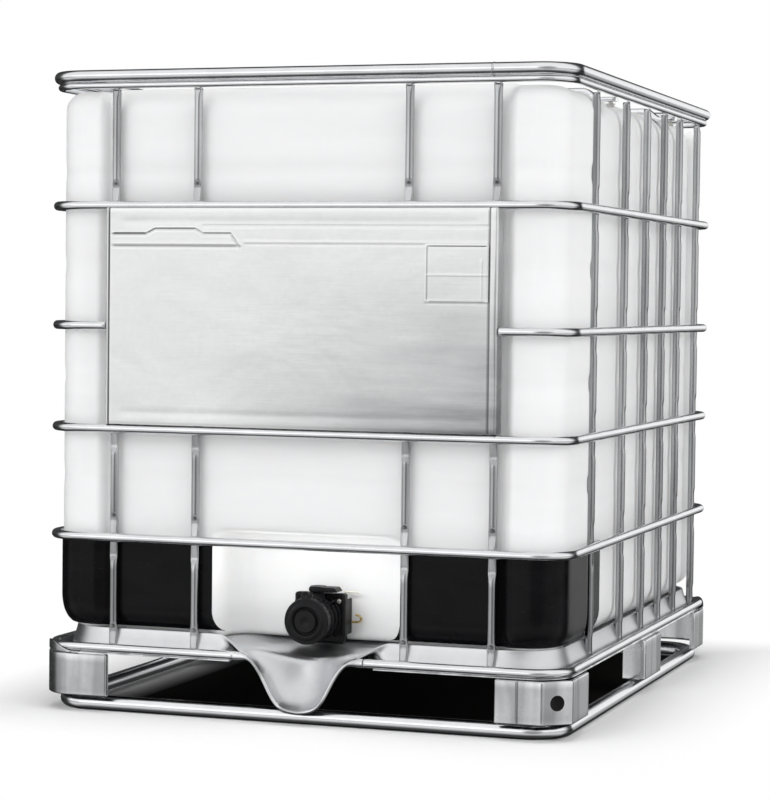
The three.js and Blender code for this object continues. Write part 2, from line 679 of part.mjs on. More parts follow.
function buildOutletCap() {
  const threadGap = BARREL_RADIUS + 2 * GAP;
  const cup = [
    [0, CAP_FRONT_Y],
    [CAP_RADIUS, CAP_FRONT_Y],
    [CAP_RADIUS, CAP_REAR_Y],
    [threadGap, CAP_REAR_Y],
    [threadGap, CAP_SEAT_Y],
    [0, CAP_SEAT_Y],
  ];
  const [left, right] = [OUTLET_X - CAP_LUG_HALF, OUTLET_X + CAP_LUG_HALF];
  const lugSpan = [OUTLET_Z + CAP_RADIUS - 4, OUTLET_Z + CAP_LUG_TOP];
  const lug = solid(box(left, right, CAP_FRONT_Y, CAP_FRONT_Y + 10, ...lugSpan));
  add("outlet_cap", "valve", solid(turnedAlongOutlet(cup, 32)).add(lug));
  add("cap_gasket", "seal", band(0, CAP_GASKET_RADIUS, CAP_SEAT_Y + GAP, CAP_GASKET_REAR_Y));
}

// A bent wire clip at the rear of the valve's right side.
function buildSealClip() {
  const right = OUTLET_X + FACE_HALF + GAP;
  const height = OUTLET_Z - CLIP_DROP;
  const points = CLIP_BENDS.map(([x, z]) => new THREE.Vector3(right + x, CLIP_Y, height + z));
  add("seal_clip", "brass", tubeAlong(points, CLIP_RADIUS, 8));
}

// ---- Fill opening ----
function buildLid() {
  const skirtInner = NECK_RADIUS + 1;
  const sealTop = NECK_TOP + LID_GASKET;
  const ceiling = sealTop + GAP;
  const cup = [
    [0, ceiling],
    [skirtInner, ceiling],
    [skirtInner, LID_SKIRT_BOTTOM],
    [LID_RADIUS, LID_SKIRT_BOTTOM],
    [LID_RADIUS, LID_TOP - LID_WALL],
    [LID_RADIUS - LID_WALL, LID_TOP],
    [0, LID_TOP],
  ];
  const ventHole = solid(rod(VENT_RADIUS, VENT_X, 0, NECK_TOP, LID_TOP + 1, 24));
  add("fill_lid", "lid", solid(turned(cup, 40)).subtract(ventHole));
  const sealBase = NECK_TOP + GAP;
  const lidSeal = [
    [NECK_BORE, sealBase],
    [NECK_RADIUS, sealBase],
    [NECK_RADIUS, sealTop],
    [NECK_BORE, sealTop],
  ];
  add("lid_gasket", "seal", turned(lidSeal, 32));
  const ringIn = VENT_RADIUS + GAP;
  const ringBase = LID_TOP + GAP;
  const ringTop = LID_TOP + VENT_GASKET;
  const ventRing = [
    [ringIn, ringBase],
    [VENT_GASKET_RADIUS, ringBase],
    [VENT_GASKET_RADIUS, ringTop],
    [ringIn, ringTop],
  ];
  add("vent_gasket", "seal", turned(ventRing).translate(VENT_X, 0, 0));
  const stem = VENT_RADIUS - 0.5;
  const stemBase = NECK_TOP + 4;
  const headBase = ringTop + GAP;
  const headTop = HEIGHT - 2;
  const plug = [
    [0, stemBase],
    [stem, stemBase],
    [stem, headBase],
    [VENT_HEAD_RADIUS, headBase],
    [VENT_HEAD_RADIUS, headTop - 3],
    [VENT_HEAD_RADIUS - 4, headTop],
    [0, headTop],
  ];
  add("vent_plug", "lid", turned(plug).translate(VENT_X, 0, 0));
}

// Two flattened bars hold the bottle down. Their ends step down and are bolted up under the rail.
function buildCrossBars() {
  const endTop = postTop;
  const endBottom = endTop - BAR_THICKNESS;
  const midBottom = BOTTLE_TOP + GAP;
  const midTop = midBottom + BAR_THICKNESS;
  const outline = new THREE.Shape();
  const upper = [
    [-BAR_HALF, endTop],
    [-BAR_STEP_OUT, endTop],
    [-BAR_STEP_IN, midTop],
    [BAR_STEP_IN, midTop],
  ];
  const lowerStep = BAR_STEP_IN + BAR_BEND_SHIFT;
  const lower = [[lowerStep, midBottom], [-lowerStep, midBottom]];
  const points = [
    ...upper,
    [BAR_STEP_OUT, endTop],
    [BAR_HALF, endTop],
    [BAR_HALF, endBottom],
    [BAR_STEP_OUT + 3, endBottom],
    ...lower,
    [-BAR_STEP_OUT - 3, endBottom],
    [-BAR_HALF, endBottom],
  ];
  outline.setFromPoints(points.map(([x, z]) => new THREE.Vector2(x, z)));
  for (const [name, y] of [["front", -BAR_Y], ["rear", BAR_Y]]) {
    let bar = solid(frontPrism(outline, y - BAR_HALF_WIDTH, y + BAR_HALF_WIDTH));
    for (const [side, sign] of [["left", -1], ["right", 1]]) {
      const x = sign * BAR_BOLT_X;
      bar = bar.subtract(solid(rod(BOLT_RADIUS + GAP, x, y, endBottom - 1, endTop + 1)));
      const head = solid(rod(BOLT_HEAD_RADIUS, x, y, endBottom - GAP - BOLT_HEAD, endBottom - GAP, 6));
      const shank = solid(rod(BOLT_RADIUS, x, y, endBottom - GAP - 1, endTop - GAP));
      add(`${name}_bar_bolt_${side}`, "tube", head.add(shank));
    }
    add(`${name}_cross_bar`, "tube", bar);
  }
}

buildHoops();
buildPosts();
buildLabelPlate();
buildRunner();
buildCornerFeet();
buildMiddleFeet();
buildTray();
buildBottle();
buildCornerGuards();
buildValve();
buildLever();
buildOutletCap();
buildSealClip();
buildLid();
buildCrossBars();

export default group;
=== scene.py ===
import math
import bmesh
import bpy
import numpy as np
from mathutils import Matrix, Vector


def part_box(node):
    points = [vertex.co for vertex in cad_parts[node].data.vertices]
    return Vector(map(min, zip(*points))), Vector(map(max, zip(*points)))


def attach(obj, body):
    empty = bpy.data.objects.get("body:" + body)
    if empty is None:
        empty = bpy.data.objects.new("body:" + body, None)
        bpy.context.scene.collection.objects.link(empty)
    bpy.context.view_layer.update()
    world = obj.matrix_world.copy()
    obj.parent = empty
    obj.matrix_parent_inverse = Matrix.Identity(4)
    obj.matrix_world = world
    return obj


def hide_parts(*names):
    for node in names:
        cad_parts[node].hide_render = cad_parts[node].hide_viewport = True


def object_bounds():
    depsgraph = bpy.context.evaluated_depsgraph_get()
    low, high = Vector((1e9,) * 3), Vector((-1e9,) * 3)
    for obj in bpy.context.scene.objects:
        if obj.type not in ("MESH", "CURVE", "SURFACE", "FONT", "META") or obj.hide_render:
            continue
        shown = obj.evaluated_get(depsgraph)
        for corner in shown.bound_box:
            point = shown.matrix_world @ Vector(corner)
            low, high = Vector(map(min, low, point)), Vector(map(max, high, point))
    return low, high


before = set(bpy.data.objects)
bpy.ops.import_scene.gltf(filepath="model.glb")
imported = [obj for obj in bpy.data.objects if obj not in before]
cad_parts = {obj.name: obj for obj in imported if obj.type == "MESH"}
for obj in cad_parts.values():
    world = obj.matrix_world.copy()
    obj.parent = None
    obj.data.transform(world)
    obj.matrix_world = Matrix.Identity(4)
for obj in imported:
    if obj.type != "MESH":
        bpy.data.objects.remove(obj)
CAD_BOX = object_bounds()
scene = bpy.context.scene
MM = 0.001


# ---------------------------------------------------------------- places read from the frame
def span(node):
    """Lowest and highest corner of a CAD node in millimetres."""
    low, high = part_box(node)
    return np.array(low) * 1000.0, np.array(high) * 1000.0


LOW, HIGH = np.array(CAD_BOX[0]) * 1000.0, np.array(CAD_BOX[1]) * 1000.0
FRONT, BACK = LOW[1], HIGH[1]
HALF_X = HIGH[0]
HOOPS = ("hoop_2", "hoop_3", "hoop_4", "hoop_5", "hoop_6")
CAGE_CORNER = 74.0


def middle(node):
    low, high = span(node)
    return (low + high) / 2


# ---------------------------------------------------------------- mesh helpers
def link(name, mesh):
    obj = bpy.data.objects.new(name, mesh)
    scene.collection.objects.link(obj)
    return obj


def mesh_of(name, verts, faces, angle=40.0, outward=True):
    """A mesh object from points in millimetres."""
    mesh = bpy.data.meshes.new(name)
    mesh.from_pydata((np.asarray(verts, float) * MM).tolist(), [], faces)
    mesh.update()
    if outward:
        bm = bmesh.new()
        bm.from_mesh(mesh)
        bmesh.ops.recalc_face_normals(bm, faces=bm.faces)
        bm.to_mesh(mesh)
        bm.free()
    mesh.shade_smooth()
    if angle < 179:
        mesh.set_sharp_from_angle(angle=math.radians(angle))
    return link(name, mesh)


def grid_faces(rows, columns, wrap_rows=False, wrap_columns=False, start=0):
    r = np.arange(rows if wrap_rows else rows - 1)
    c = np.arange(columns if wrap_columns else columns - 1)
    r, c = np.meshgrid(r, c, indexing="ij")
    r2, c2 = (r + 1) % rows, (c + 1) % columns
    quads = np.stack([r * columns + c, r2 * columns + c, r2 * columns + c2, r * columns + c2], -1)
    return (quads.reshape(-1, 4) + start).tolist()


class Build:
    """Collects several shells into one mesh."""

    def __init__(self):
        self.verts, self.faces = [], []

    def grid(self, points, wrap_rows=False, wrap_columns=False, caps=False):
        points = np.asarray(points, float)
        rows, columns = points.shape[:2]
        start = len(self.verts)
        self.verts.extend(points.reshape(-1, 3).tolist())
        self.faces.extend(grid_faces(rows, columns, wrap_rows, wrap_columns, start))
        if caps:
            self.faces.append([start + i for i in range(columns)][::-1])
            self.faces.append([start + (rows - 1) * columns + i for i in range(columns)])
        return self

    def mesh(self, verts, faces):
        start = len(self.verts)
        self.verts.extend(np.asarray(verts, float).tolist())
        self.faces.extend([[start + i for i in f] for f in faces])
        return self

    def make(self, name, angle=40.0):
        return mesh_of(name, self.verts, self.faces, angle)


def modify(obj, kind, name, **settings):
    """Adds a modifier and applies it to the mesh."""
    modifier = obj.modifiers.new(name, kind)
    for key, value in settings.items():
        setattr(modifier, key, value)
    graph = bpy.context.evaluated_depsgraph_get()
    graph.update()
    made = bpy.data.meshes.new_from_object(obj.evaluated_get(graph))
    obj.modifiers.clear()
    obj.data = made
    return obj


def shade(obj, angle):
    obj.data.shade_smooth()
    if angle < 179:
        obj.data.set_sharp_from_angle(angle=math.radians(angle))
    return obj


def piece(obj, body, material, stands_for=()):
    """Gives a finished piece its body, material and the CAD nodes it stands for."""
    obj.data.materials.clear()
    obj.data.materials.append(material)
    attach(obj, body)
    if stands_for:
        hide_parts(*stands_for)
    return obj


# ---------------------------------------------------------------- distance fields for moulded shapes
def smooth(t):
    t = np.clip(t, 0, 1)
    return t * t * (3 - 2 * t)


def fmin(a, b, k=0.0):
    if k <= 0:
        return np.minimum(a, b)
    h = np.clip(0.5 + 0.5 * (b - a) / k, 0, 1)
    return b * (1 - h) + a * h - k * h * (1 - h)


def fmax(a, b, k=0.0):
    return -fmin(-a, -b, k)


def field_box(p, centre, half, r=1.0):
    q = [np.abs(p[i] - centre[i]) - (half[i] - r) for i in range(3)]
    outside = np.sqrt(sum(np.maximum(v, 0) ** 2 for v in q))
    return outside + np.minimum(np.maximum(np.maximum(q[0], q[1]), q[2]), 0) - r


def field_rod(p, axis, centre, radius, low, high, r=1.0):
    """A round rod along axis 0, 1 or 2, between low and high on it; centre gives the other two coordinates."""
    others = [i for i in range(3) if i != axis]
    flat = np.sqrt((p[others[0]] - centre[0]) ** 2 + (p[others[1]] - centre[1]) ** 2) - (radius - r)
    along = np.abs(p[axis] - (low + high) / 2) - ((high - low) / 2 - r)
    outside = np.sqrt(np.maximum(flat, 0) ** 2 + np.maximum(along, 0) ** 2)
    return outside + np.minimum(np.maximum(flat, along), 0) - r


def field_plan(x, y, half_x, half_y, corner):
    """Distance to a rectangle with rounded corners in plan."""
    qx, qy = np.abs(x) - (half_x - corner), np.abs(y) - (half_y - corner)
    return np.sqrt(np.maximum(qx, 0) ** 2 + np.maximum(qy, 0) ** 2) + np.minimum(np.maximum(qx, qy), 0) - corner


def field_block(flat, z, low, high, edge):
    """A plan distance raised from low to high, with its top and bottom edges rounded."""
    a = flat + edge
    b = np.abs(z - (low + high) / 2) - (high - low) / 2 + edge
    return np.sqrt(np.maximum(a, 0) ** 2 + np.maximum(b, 0) ** 2) + np.minimum(np.maximum(a, b), 0) - edge


def field_mesh(field, axes, polish=4):
    """Surface of field(x, y, z) = 0 on a grid of stations, as points and quads."""
    x, y, z = np.meshgrid(*axes, indexing="ij")
    d = field((x, y, z))
    d = np.where(np.abs(d) < 1e-9, 1e-9, d)
    shape = tuple(len(a) - 1 for a in axes)
    total, count = np.zeros(shape + (3,)), np.zeros(shape)

    def part(axis, offsets):
        return tuple(slice(o, o + n) for o, n in zip(offsets, shape))

    inside = d < 0
    for axis in range(3):
        others = [i for i in range(3) if i != axis]
        for u in (0, 1):
            for v in (0, 1):
                a, b = [0, 0, 0], [0, 0, 0]
                a[others[0]], a[others[1]] = u, v
                b[others[0]], b[others[1]] = u, v
                b[axis] = 1
                sa, sb = part(axis, a), part(axis, b)
                cross = inside[sa] != inside[sb]
                t = np.where(cross, d[sa] / np.where(cross, d[sa] - d[sb], 1), 0)
                for k, g in enumerate((x, y, z)):
                    total[..., k] += np.where(cross, g[sa] + (g[sb] - g[sa]) * t, 0)
                count += cross
    used = count > 0
    index = -np.ones(shape, int)
    index[used] = np.arange(used.sum())
    verts = total[used] / count[used][:, None]
    quads = []
    for axis in range(3):
        others = [i for i in range(3) if i != axis]
        low = [slice(None)] * 3
        high = [slice(None)] * 3
        low[axis], high[axis] = slice(0, -1), slice(1, None)
        for o in others:
            low[o] = high[o] = slice(1, -1)
        a, b = inside[tuple(low)], inside[tuple(high)]
        where = np.argwhere(a != b)
        rising = a[tuple(where.T)]
        base = where.copy()
        for o in others:
            base[:, o] += 1
        corners = []
        for u, v in ((0, 0), (1, 0), (1, 1), (0, 1)):
            c = base.copy()
            c[:, others[0]] -= u
            c[:, others[1]] -= v
            corners.append(index[tuple(c.T)])
        q = np.stack(corners, -1)
        flip = rising if axis != 1 else ~rising
        q[flip] = q[flip][:, ::-1]
        quads.append(q)
    quads = np.concatenate(quads)
    step = 0.05
    reach = min(float(np.min(np.diff(a))) for a in axes)
    for _ in range(polish):
        p = tuple(verts.T)
        value = field(p)
        gradient = np.stack(
            [
                (field(tuple(p[j] + (step if j == i else 0) for j in range(3))) - value) / step
                for i in range(3)
            ],
            -1,
        )
        size = np.maximum((gradient**2).sum(-1), 0.05)
        move = np.clip(value / size, -reach, reach)[:, None] * gradient
        verts = verts - move
    return verts, quads.tolist()


def moulded(name, field, low, high, step, angle=60.0):
    axes = [np.arange(a - 1.7 * step, b + 2.7 * step, step) for a, b in zip(low, high)]
    verts, quads = field_mesh(field, axes)
    return mesh_of(name, verts, quads, angle)


# ---------------------------------------------------------------- materials
class Nodes:
    """Short calls for building a material's node tree."""

    def __init__(self, name):
        self.material = bpy.data.materials.new(name)
        self.material.use_nodes = True
        self.tree = self.material.node_tree
        self.shader = self.tree.nodes["Principled BSDF"]
        self.where = self.add("ShaderNodeTexCoord").outputs["Object"]

    def add(self, kind, **settings):
        node = self.tree.nodes.new(kind)
        for key, value in settings.items():
            setattr(node, key, value)
        return node

    def wire(self, a, b):
        self.tree.links.new(a, b)

    def fix(self, **values):
        for key, value in values.items():
            self.shader.inputs[key.replace("_", " ")].default_value = value
        return self

    def scaled(self, scale):
        node = self.add("ShaderNodeMapping")
        node.inputs["Scale"].default_value = scale
        self.wire(self.where, node.inputs["Vector"])
        return node.outputs["Vector"]

    def noise(self, scale, detail=4.0, rough=0.55, stretch=(1, 1, 1), distortion=0.0):
        node = self.add("ShaderNodeTexNoise")
        node.inputs["Scale"].default_value = scale
        node.inputs["Detail"].default_value = detail
        node.inputs["Roughness"].default_value = rough
        node.inputs["Distortion"].default_value = distortion
        self.wire(self.scaled(stretch), node.inputs["Vector"])
        return node.outputs["Fac"]

    def cells(self, scale, feature="F1", stretch=(1, 1, 1)):
        node = self.add("ShaderNodeTexVoronoi", feature=feature)
        node.inputs["Scale"].default_value = scale
        self.wire(self.scaled(stretch), node.inputs["Vector"])
        return node

    def ramp(self, value, *stops):
        node = self.add("ShaderNodeValToRGB")
        ramp = node.color_ramp
        while len(ramp.elements) < len(stops):
            ramp.elements.new(0.5)
        for element, (at, color) in zip(ramp.elements, stops):
            element.position = at
            element.color = (*color, 1) if isinstance(color, tuple) else (color, color, color, 1)
        self.wire(value, node.inputs["Fac"])
        return node.outputs["Color"]

    def span(self, value, low, high, a=0.0, b=1.0):
        node = self.add("ShaderNodeMapRange")
        for key, number in (("From Min", a), ("From Max", b), ("To Min", low), ("To Max", high)):
            node.inputs[key].default_value = number
        self.wire(value, node.inputs["Value"])
        return node.outputs["Result"]

    def math(self, kind, a, b):
        node = self.add("ShaderNodeMath", operation=kind)
        for socket, value in zip(node.inputs, (a, b)):
            if isinstance(value, (int, float)):
                socket.default_value = value
            else:
                self.wire(value, socket)
        return node.outputs[0]

    def mix(self, factor, a, b, blend="MIX"):
        node = self.add("ShaderNodeMix", data_type="RGBA", blend_type=blend)
        for socket, value in ((node.inputs[0], factor), (node.inputs[6], a), (node.inputs[7], b)):
            if isinstance(value, tuple):
                socket.default_value = (*value, 1)
            elif isinstance(value, (int, float)):
                socket.default_value = value
            else:
                self.wire(value, socket)
        return node.outputs[2]

    def bump(self, height, strength, distance):
        node = self.add("ShaderNodeBump")
        node.inputs["Strength"].default_value = strength
        node.inputs["Distance"].default_value = distance
        self.wire(height, node.inputs["Height"])
        if self.shader.inputs["Normal"].is_linked:
            self.wire(self.shader.inputs["Normal"].links[0].from_socket, node.inputs["Normal"])
        self.wire(node.outputs["Normal"], self.shader.inputs["Normal"])
        return self

    def color(self, socket):
        self.wire(socket, self.shader.inputs["Base Color"])
        return self

    def rough(self, socket):
        self.wire(socket, self.shader.inputs["Roughness"])
        return self

    def along(self, axis, start, end):
        """0 to 1 between two places on one axis, in metres."""
        split = self.add("ShaderNodeSeparateXYZ")
        self.wire(self.where, split.inputs[0])
        return self.span(split.outputs[axis], 0.0, 1.0, start, end)

    def facing_down(self):
        """1 on faces that look at the floor, which the zinc material paints darker as shade."""
        geometry = self.tree.nodes.new("ShaderNodeNewGeometry")
        split = self.tree.nodes.new("ShaderNodeSeparateXYZ")
        self.tree.links.new(geometry.outputs["Normal"], split.inputs[0])
        return self.span(split.outputs["Z"], 1.0, 0.0, -0.7, -0.3)

    def edges(self, low=0.47, high=0.56):
        """1 on outward edges, 0 elsewhere."""
        node = self.add("ShaderNodeNewGeometry")
        return self.span(node.outputs["Pointiness"], 0.0, 1.0, low, high)


def galvanised(name, bright, dull, rough_low, rough_high, grain=(1, 1, 1), underside=1.0, streak_shade=0.0):
    """Zinc coating: soft crystal patches, fine grain, small dull spots and rubbed edges."""
    n = Nodes(name)
    crystal = n.cells(95.0, stretch=grain)
    patch = n.span(crystal.outputs["Color"], 0.0, 1.0)
    cloud = n.noise(14.0, 5.0, 0.6, grain)
    fine = n.noise(420.0, 3.0, 0.6)
    base = n.ramp(cloud, (0.30, dull), (0.72, bright))
    base = n.mix(0.10, base, n.ramp(patch, (0.0, dull), (1.0, bright)))
    spots = n.ramp(n.noise(60.0, 6.0, 0.7), (0.26, 1.0), (0.33, 0.0))
    base = n.mix(n.math("MULTIPLY", spots, 0.12), base, tuple(0.55 * c for c in dull))
    edge = n.edges(0.50, 0.60)
    base = n.mix(n.math("MULTIPLY", edge, 0.35), base, tuple(min(1.0, 1.15 * c) for c in bright))
    # Painted shade: dark vertical streaks stand in for bands of reflected shade along posts and sheets.
    if streak_shade > 0.0:
        streak_shade_mask = n.ramp(n.noise(24.0, 2.0, 0.4, (1.0, 1.0, 0.10), 0.4), (0.38, 1.0), (0.58, 0.0))
        base = n.mix(n.math("MULTIPLY", streak_shade_mask, streak_shade), base, tuple(0.30 * c for c in dull))
    # Painted shade: faces that look at the floor are darkened towards the dull tone scaled by underside.
    if underside < 1.0:
        base = n.mix(n.facing_down(), base, tuple(underside * c for c in dull))
    n.color(base)
    rough = n.span(cloud, rough_low, rough_high, 0.25, 0.75)
    rough = n.math("ADD", rough, n.math("MULTIPLY", spots, 0.12))
    rough = n.math("ADD", rough, n.span(fine, -0.03, 0.03))
    n.rough(rough)
    n.fix(Metallic=1.0)
    n.bump(fine, 0.05, 0.0003)
    n.bump(cloud, 0.12, 0.003)
    return n.material


def plastic(name, base, light, rough_low, rough_high, specular, bump=0.12, grain=900.0, coat=0.0):
    """Moulded plastic: fine skin texture, faint flow marks, dust and scuffs that catch on edges."""
    n = Nodes(name)
    skin = n.noise(grain, 2.0, 0.5)
    flow = n.noise(9.0, 4.0, 0.55, (1.0, 1.0, 2.4), 0.6)
    scuff = n.ramp(n.noise(70.0, 8.0, 0.72, (1.0, 1.0, 3.0)), (0.58, 0.0), (0.70, 1.0))
    color = n.mix(n.span(flow, 0.0, 1.0, 0.25, 0.8), base, light)
    color = n.mix(n.math("MULTIPLY", scuff, 0.16), color, tuple(min(1.0, c * 1.6 + 0.004) for c in light))
    rubbed = tuple(min(1.0, c * 1.7 + 0.006) for c in light)
    color = n.mix(n.math("MULTIPLY", n.edges(0.51, 0.62), 0.30), color, rubbed)
    n.color(color)
    rough = n.span(flow, rough_low, rough_high, 0.25, 0.75)
    n.rough(n.math("ADD", rough, n.math("MULTIPLY", scuff, 0.10)))
    n.fix(Specular_IOR_Level=specular, Coat_Weight=coat, Coat_Roughness=0.12)
    n.bump(skin, bump, 0.0003)
    n.bump(flow, bump, 0.003)
    return n.material


PLATE_CREASES = (-359.5, 352.0)


def sheet_label(name):
    """Rolled galvanised sheet: fine horizontal grain, soft clouds and a few scratches."""
    n = Nodes(name)
    grain = n.noise(36.0, 6.0, 0.6, (0.6, 1.0, 16.0))
    cloud = n.noise(3.2, 3.0, 0.5, (1.0, 1.0, 1.6), 0.8)
    spangle = n.cells(120.0)
    scratch = n.ramp(n.noise(26.0, 8.0, 0.75, (0.35, 1.0, 9.0)), (0.64, 0.0), (0.70, 1.0))
    base = n.ramp(cloud, (0.28, (0.74, 0.745, 0.745)), (0.75, (0.86, 0.865, 0.86)))
    base = n.mix(0.10, base, n.ramp(n.span(spangle.outputs["Color"], 0.0, 1.0), (0.0, 0.55), (1.0, 0.86)))
    base = n.mix(n.math("MULTIPLY", grain, 0.20), base, (0.60, 0.61, 0.62))
    base = n.mix(n.math("MULTIPLY", scratch, 0.18), base, (0.92, 0.93, 0.94))
    # Painted highlight: the sheet's edges are painted near white.
    base = n.mix(n.math("MULTIPLY", n.edges(0.50, 0.54), 0.8), base, (0.98, 0.98, 0.98))
    # Painted shade: darker towards its lower right.
    lower_right_shade = n.math("MULTIPLY", n.along("X", -0.16, 0.36), n.along("Z", 0.82, 0.52))
    lower_right_shade = n.math("MULTIPLY", lower_right_shade, n.span(n.noise(9.0, 4.0, 0.6, (0.35, 1.0, 3.2)), 0.45, 1.0, 0.3, 0.7))
    base = n.mix(n.math("MULTIPLY", lower_right_shade, 1.0), base, (0.17, 0.18, 0.19))
    # Painted shade: a dark line down each crease, where the fold's shadow falls.
    for crease in PLATE_CREASES:
        at = crease * MM
        start, end = (n.along("X", at + side * 0.0022, at + side * 0.0010) for side in (-1, 1))
        line = n.math("MULTIPLY", start, end)
        base = n.mix(n.math("MULTIPLY", line, 0.75), base, (0.07, 0.07, 0.075))
    n.color(base)
    n.rough(n.math("ADD", n.span(cloud, 0.30, 0.44, 0.25, 0.8), n.span(grain, -0.04, 0.05)))
    n.fix(Metallic=1.0)
    n.bump(grain, 0.12, 0.0008)
    n.bump(cloud, 0.30, 0.010)
    return n.material


def milky(name):
    """Blown polyethylene: milky, slightly see-through skin with faint horizontal flow bands."""
    n = Nodes(name)
    bands = n.noise(5.0, 4.0, 0.55, (0.4, 0.4, 3.0), 0.3)
    skin = n.noise(260.0, 3.0, 0.55)
    color = n.ramp(bands, (0.25, (0.885, 0.882, 0.868)), (0.75, (0.935, 0.933, 0.922)))
    dust = n.ramp(n.noise(40.0, 8.0, 0.7), (0.60, 0.0), (0.76, 1.0))
    color = n.mix(n.math("MULTIPLY", dust, 0.10), color, (0.80, 0.79, 0.76))
    n.color(color)
    n.rough(n.span(bands, 0.34, 0.46, 0.2, 0.8))
    n.fix(Subsurface_Weight=0.35, Subsurface_Radius=(0.020, 0.018, 0.015), Subsurface_Scale=0.6)
    n.bump(skin, 0.08, 0.0004)
    n.bump(bands, 0.10, 0.006)
    return n.material


TUBE = galvanised("tube_zinc", (0.84, 0.85, 0.86), (0.70, 0.71, 0.73), 0.12, 0.22)
POST_GRAIN = (1.0, 1.0, 0.2)
POST = galvanised("post_zinc", (0.56, 0.57, 0.58), (0.38, 0.39, 0.40), 0.12, 0.24, POST_GRAIN, streak_shade=0.35)
SHEET = galvanised("sheet_zinc", (0.86, 0.87, 0.88), (0.70, 0.71, 0.73), 0.18, 0.30, streak_shade=0.55)
# The pan's zinc is a darker copy of the sheet zinc, painted shade for the trough's darker reflections; its
# downward faces are painted dark as shade under the pallet.
PAN = galvanised("pan_zinc", (0.74, 0.75, 0.76), (0.60, 0.61, 0.63), 0.28, 0.40, underside=0.10)
LABEL = sheet_label("label_zinc")
BOLT = galvanised("bolt_zinc", (0.74, 0.73, 0.68), (0.52, 0.52, 0.50), 0.24, 0.40)
BOTTLE = milky("bottle_plastic")
BLACK = (0.0025, 0.0025, 0.003)
GUARD = plastic("guard_plastic", BLACK, (0.005, 0.005, 0.006), 0.16, 0.28, 0.10, 0.08, coat=0.04)
VALVE = plastic("valve_plastic", BLACK, (0.007, 0.007, 0.008), 0.30, 0.44, 0.20, 0.12)
LID = plastic("lid_plastic", (0.010, 0.010, 0.011), (0.024, 0.025, 0.027), 0.32, 0.46, 0.40, 0.16)
RUBBER = plastic("rubber", (0.012, 0.012, 0.012), (0.03, 0.03, 0.03), 0.62, 0.82, 0.25, 0.30, 600.0)
NATURAL = plastic("natural_plastic", (0.74, 0.71, 0.62), (0.84, 0.81, 0.73), 0.36, 0.50, 0.45, 0.10)


def brass_material():
    n = Nodes("brass")
    cloud = n.noise(90.0, 5.0, 0.6)
    fine = n.noise(1400.0, 3.0, 0.6)
    color = n.ramp(cloud, (0.3, (0.42, 0.29, 0.10)), (0.7, (0.78, 0.58, 0.24)))
    n.color(n.mix(n.math("MULTIPLY", n.edges(), 0.4), color, (0.95, 0.80, 0.45)))
    n.rough(n.span(cloud, 0.20, 0.38, 0.2, 0.8))
    n.fix(Metallic=1.0)
    n.bump(fine, 0.15, 0.0002)
    return n.material


BRASS = brass_material()


# ---------------------------------------------------------------- tubes
def ring_stations(half_x, half_y, corner, gap=14.0, corner_steps=14, open_from=None, open_to=None):
    """Points and outward directions round a rounded rectangle, counted from the middle of its front.
    With open_from and open_to (in X) the ring is open across that stretch of the front."""
    points, outs = [], []

    def straight(a, b, out, first):
        a, b = np.array(a, float), np.array(b, float)
        count = max(2, int(np.linalg.norm(b - a) / gap))
        for i in range(0 if first else 1, count + 1):
            points.append(a + (b - a) * i / count)
            outs.append(np.array(out, float))

    def bend(centre, start):
        for i in range(1, corner_steps):
            t = math.radians(start + 90.0 * i / corner_steps)
            out = np.array([math.cos(t), math.sin(t)])
            points.append(np.array(centre) + corner * out)
            outs.append(out)

    x, y, r = half_x, half_y, corner
    from_x = 0.0 if open_to is None else open_to
    straight((from_x, -y), (x - r, -y), (0, -1), True)
    bend((x - r, -y + r), -90)
    straight((x, -y + r), (x, y - r), (1, 0), True)
    bend((x - r, y - r), 0)
    straight((x - r, y), (-x + r, y), (0, 1), True)
    bend((-x + r, y - r), 90)
    straight((-x, y - r), (-x, -y + r), (-1, 0), True)
    bend((-x + r, -y + r), 180)
    straight((-x + r, -y), (0.0 if open_from is None else open_from, -y), (0, -1), True)
    if open_to is None:
        points.pop()
        outs.pop()
    return np.array(points), np.array(outs)


POST_POINTS = [(n, middle(n)) for n in sorted(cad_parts) if "_post_" in n]
SIDES = 28
HOOP_PRESS, HOOP_PRESS_REACH, HOOP_PRESS_FADE = 1.1, 26.0, 8.0
END_ROUNDING = ((0.93, 0.56), (0.75, 0.8))
POST_RADIUS = 7.5
POST_PRESS, SIDE_POST_PRESS, POST_NIP = 5.2, 1.3, 2.4


def circle(count):
    """Angles evenly round a full turn."""
    return np.linspace(0, 2 * math.pi, count, endpoint=False)


TURN = circle(SIDES)


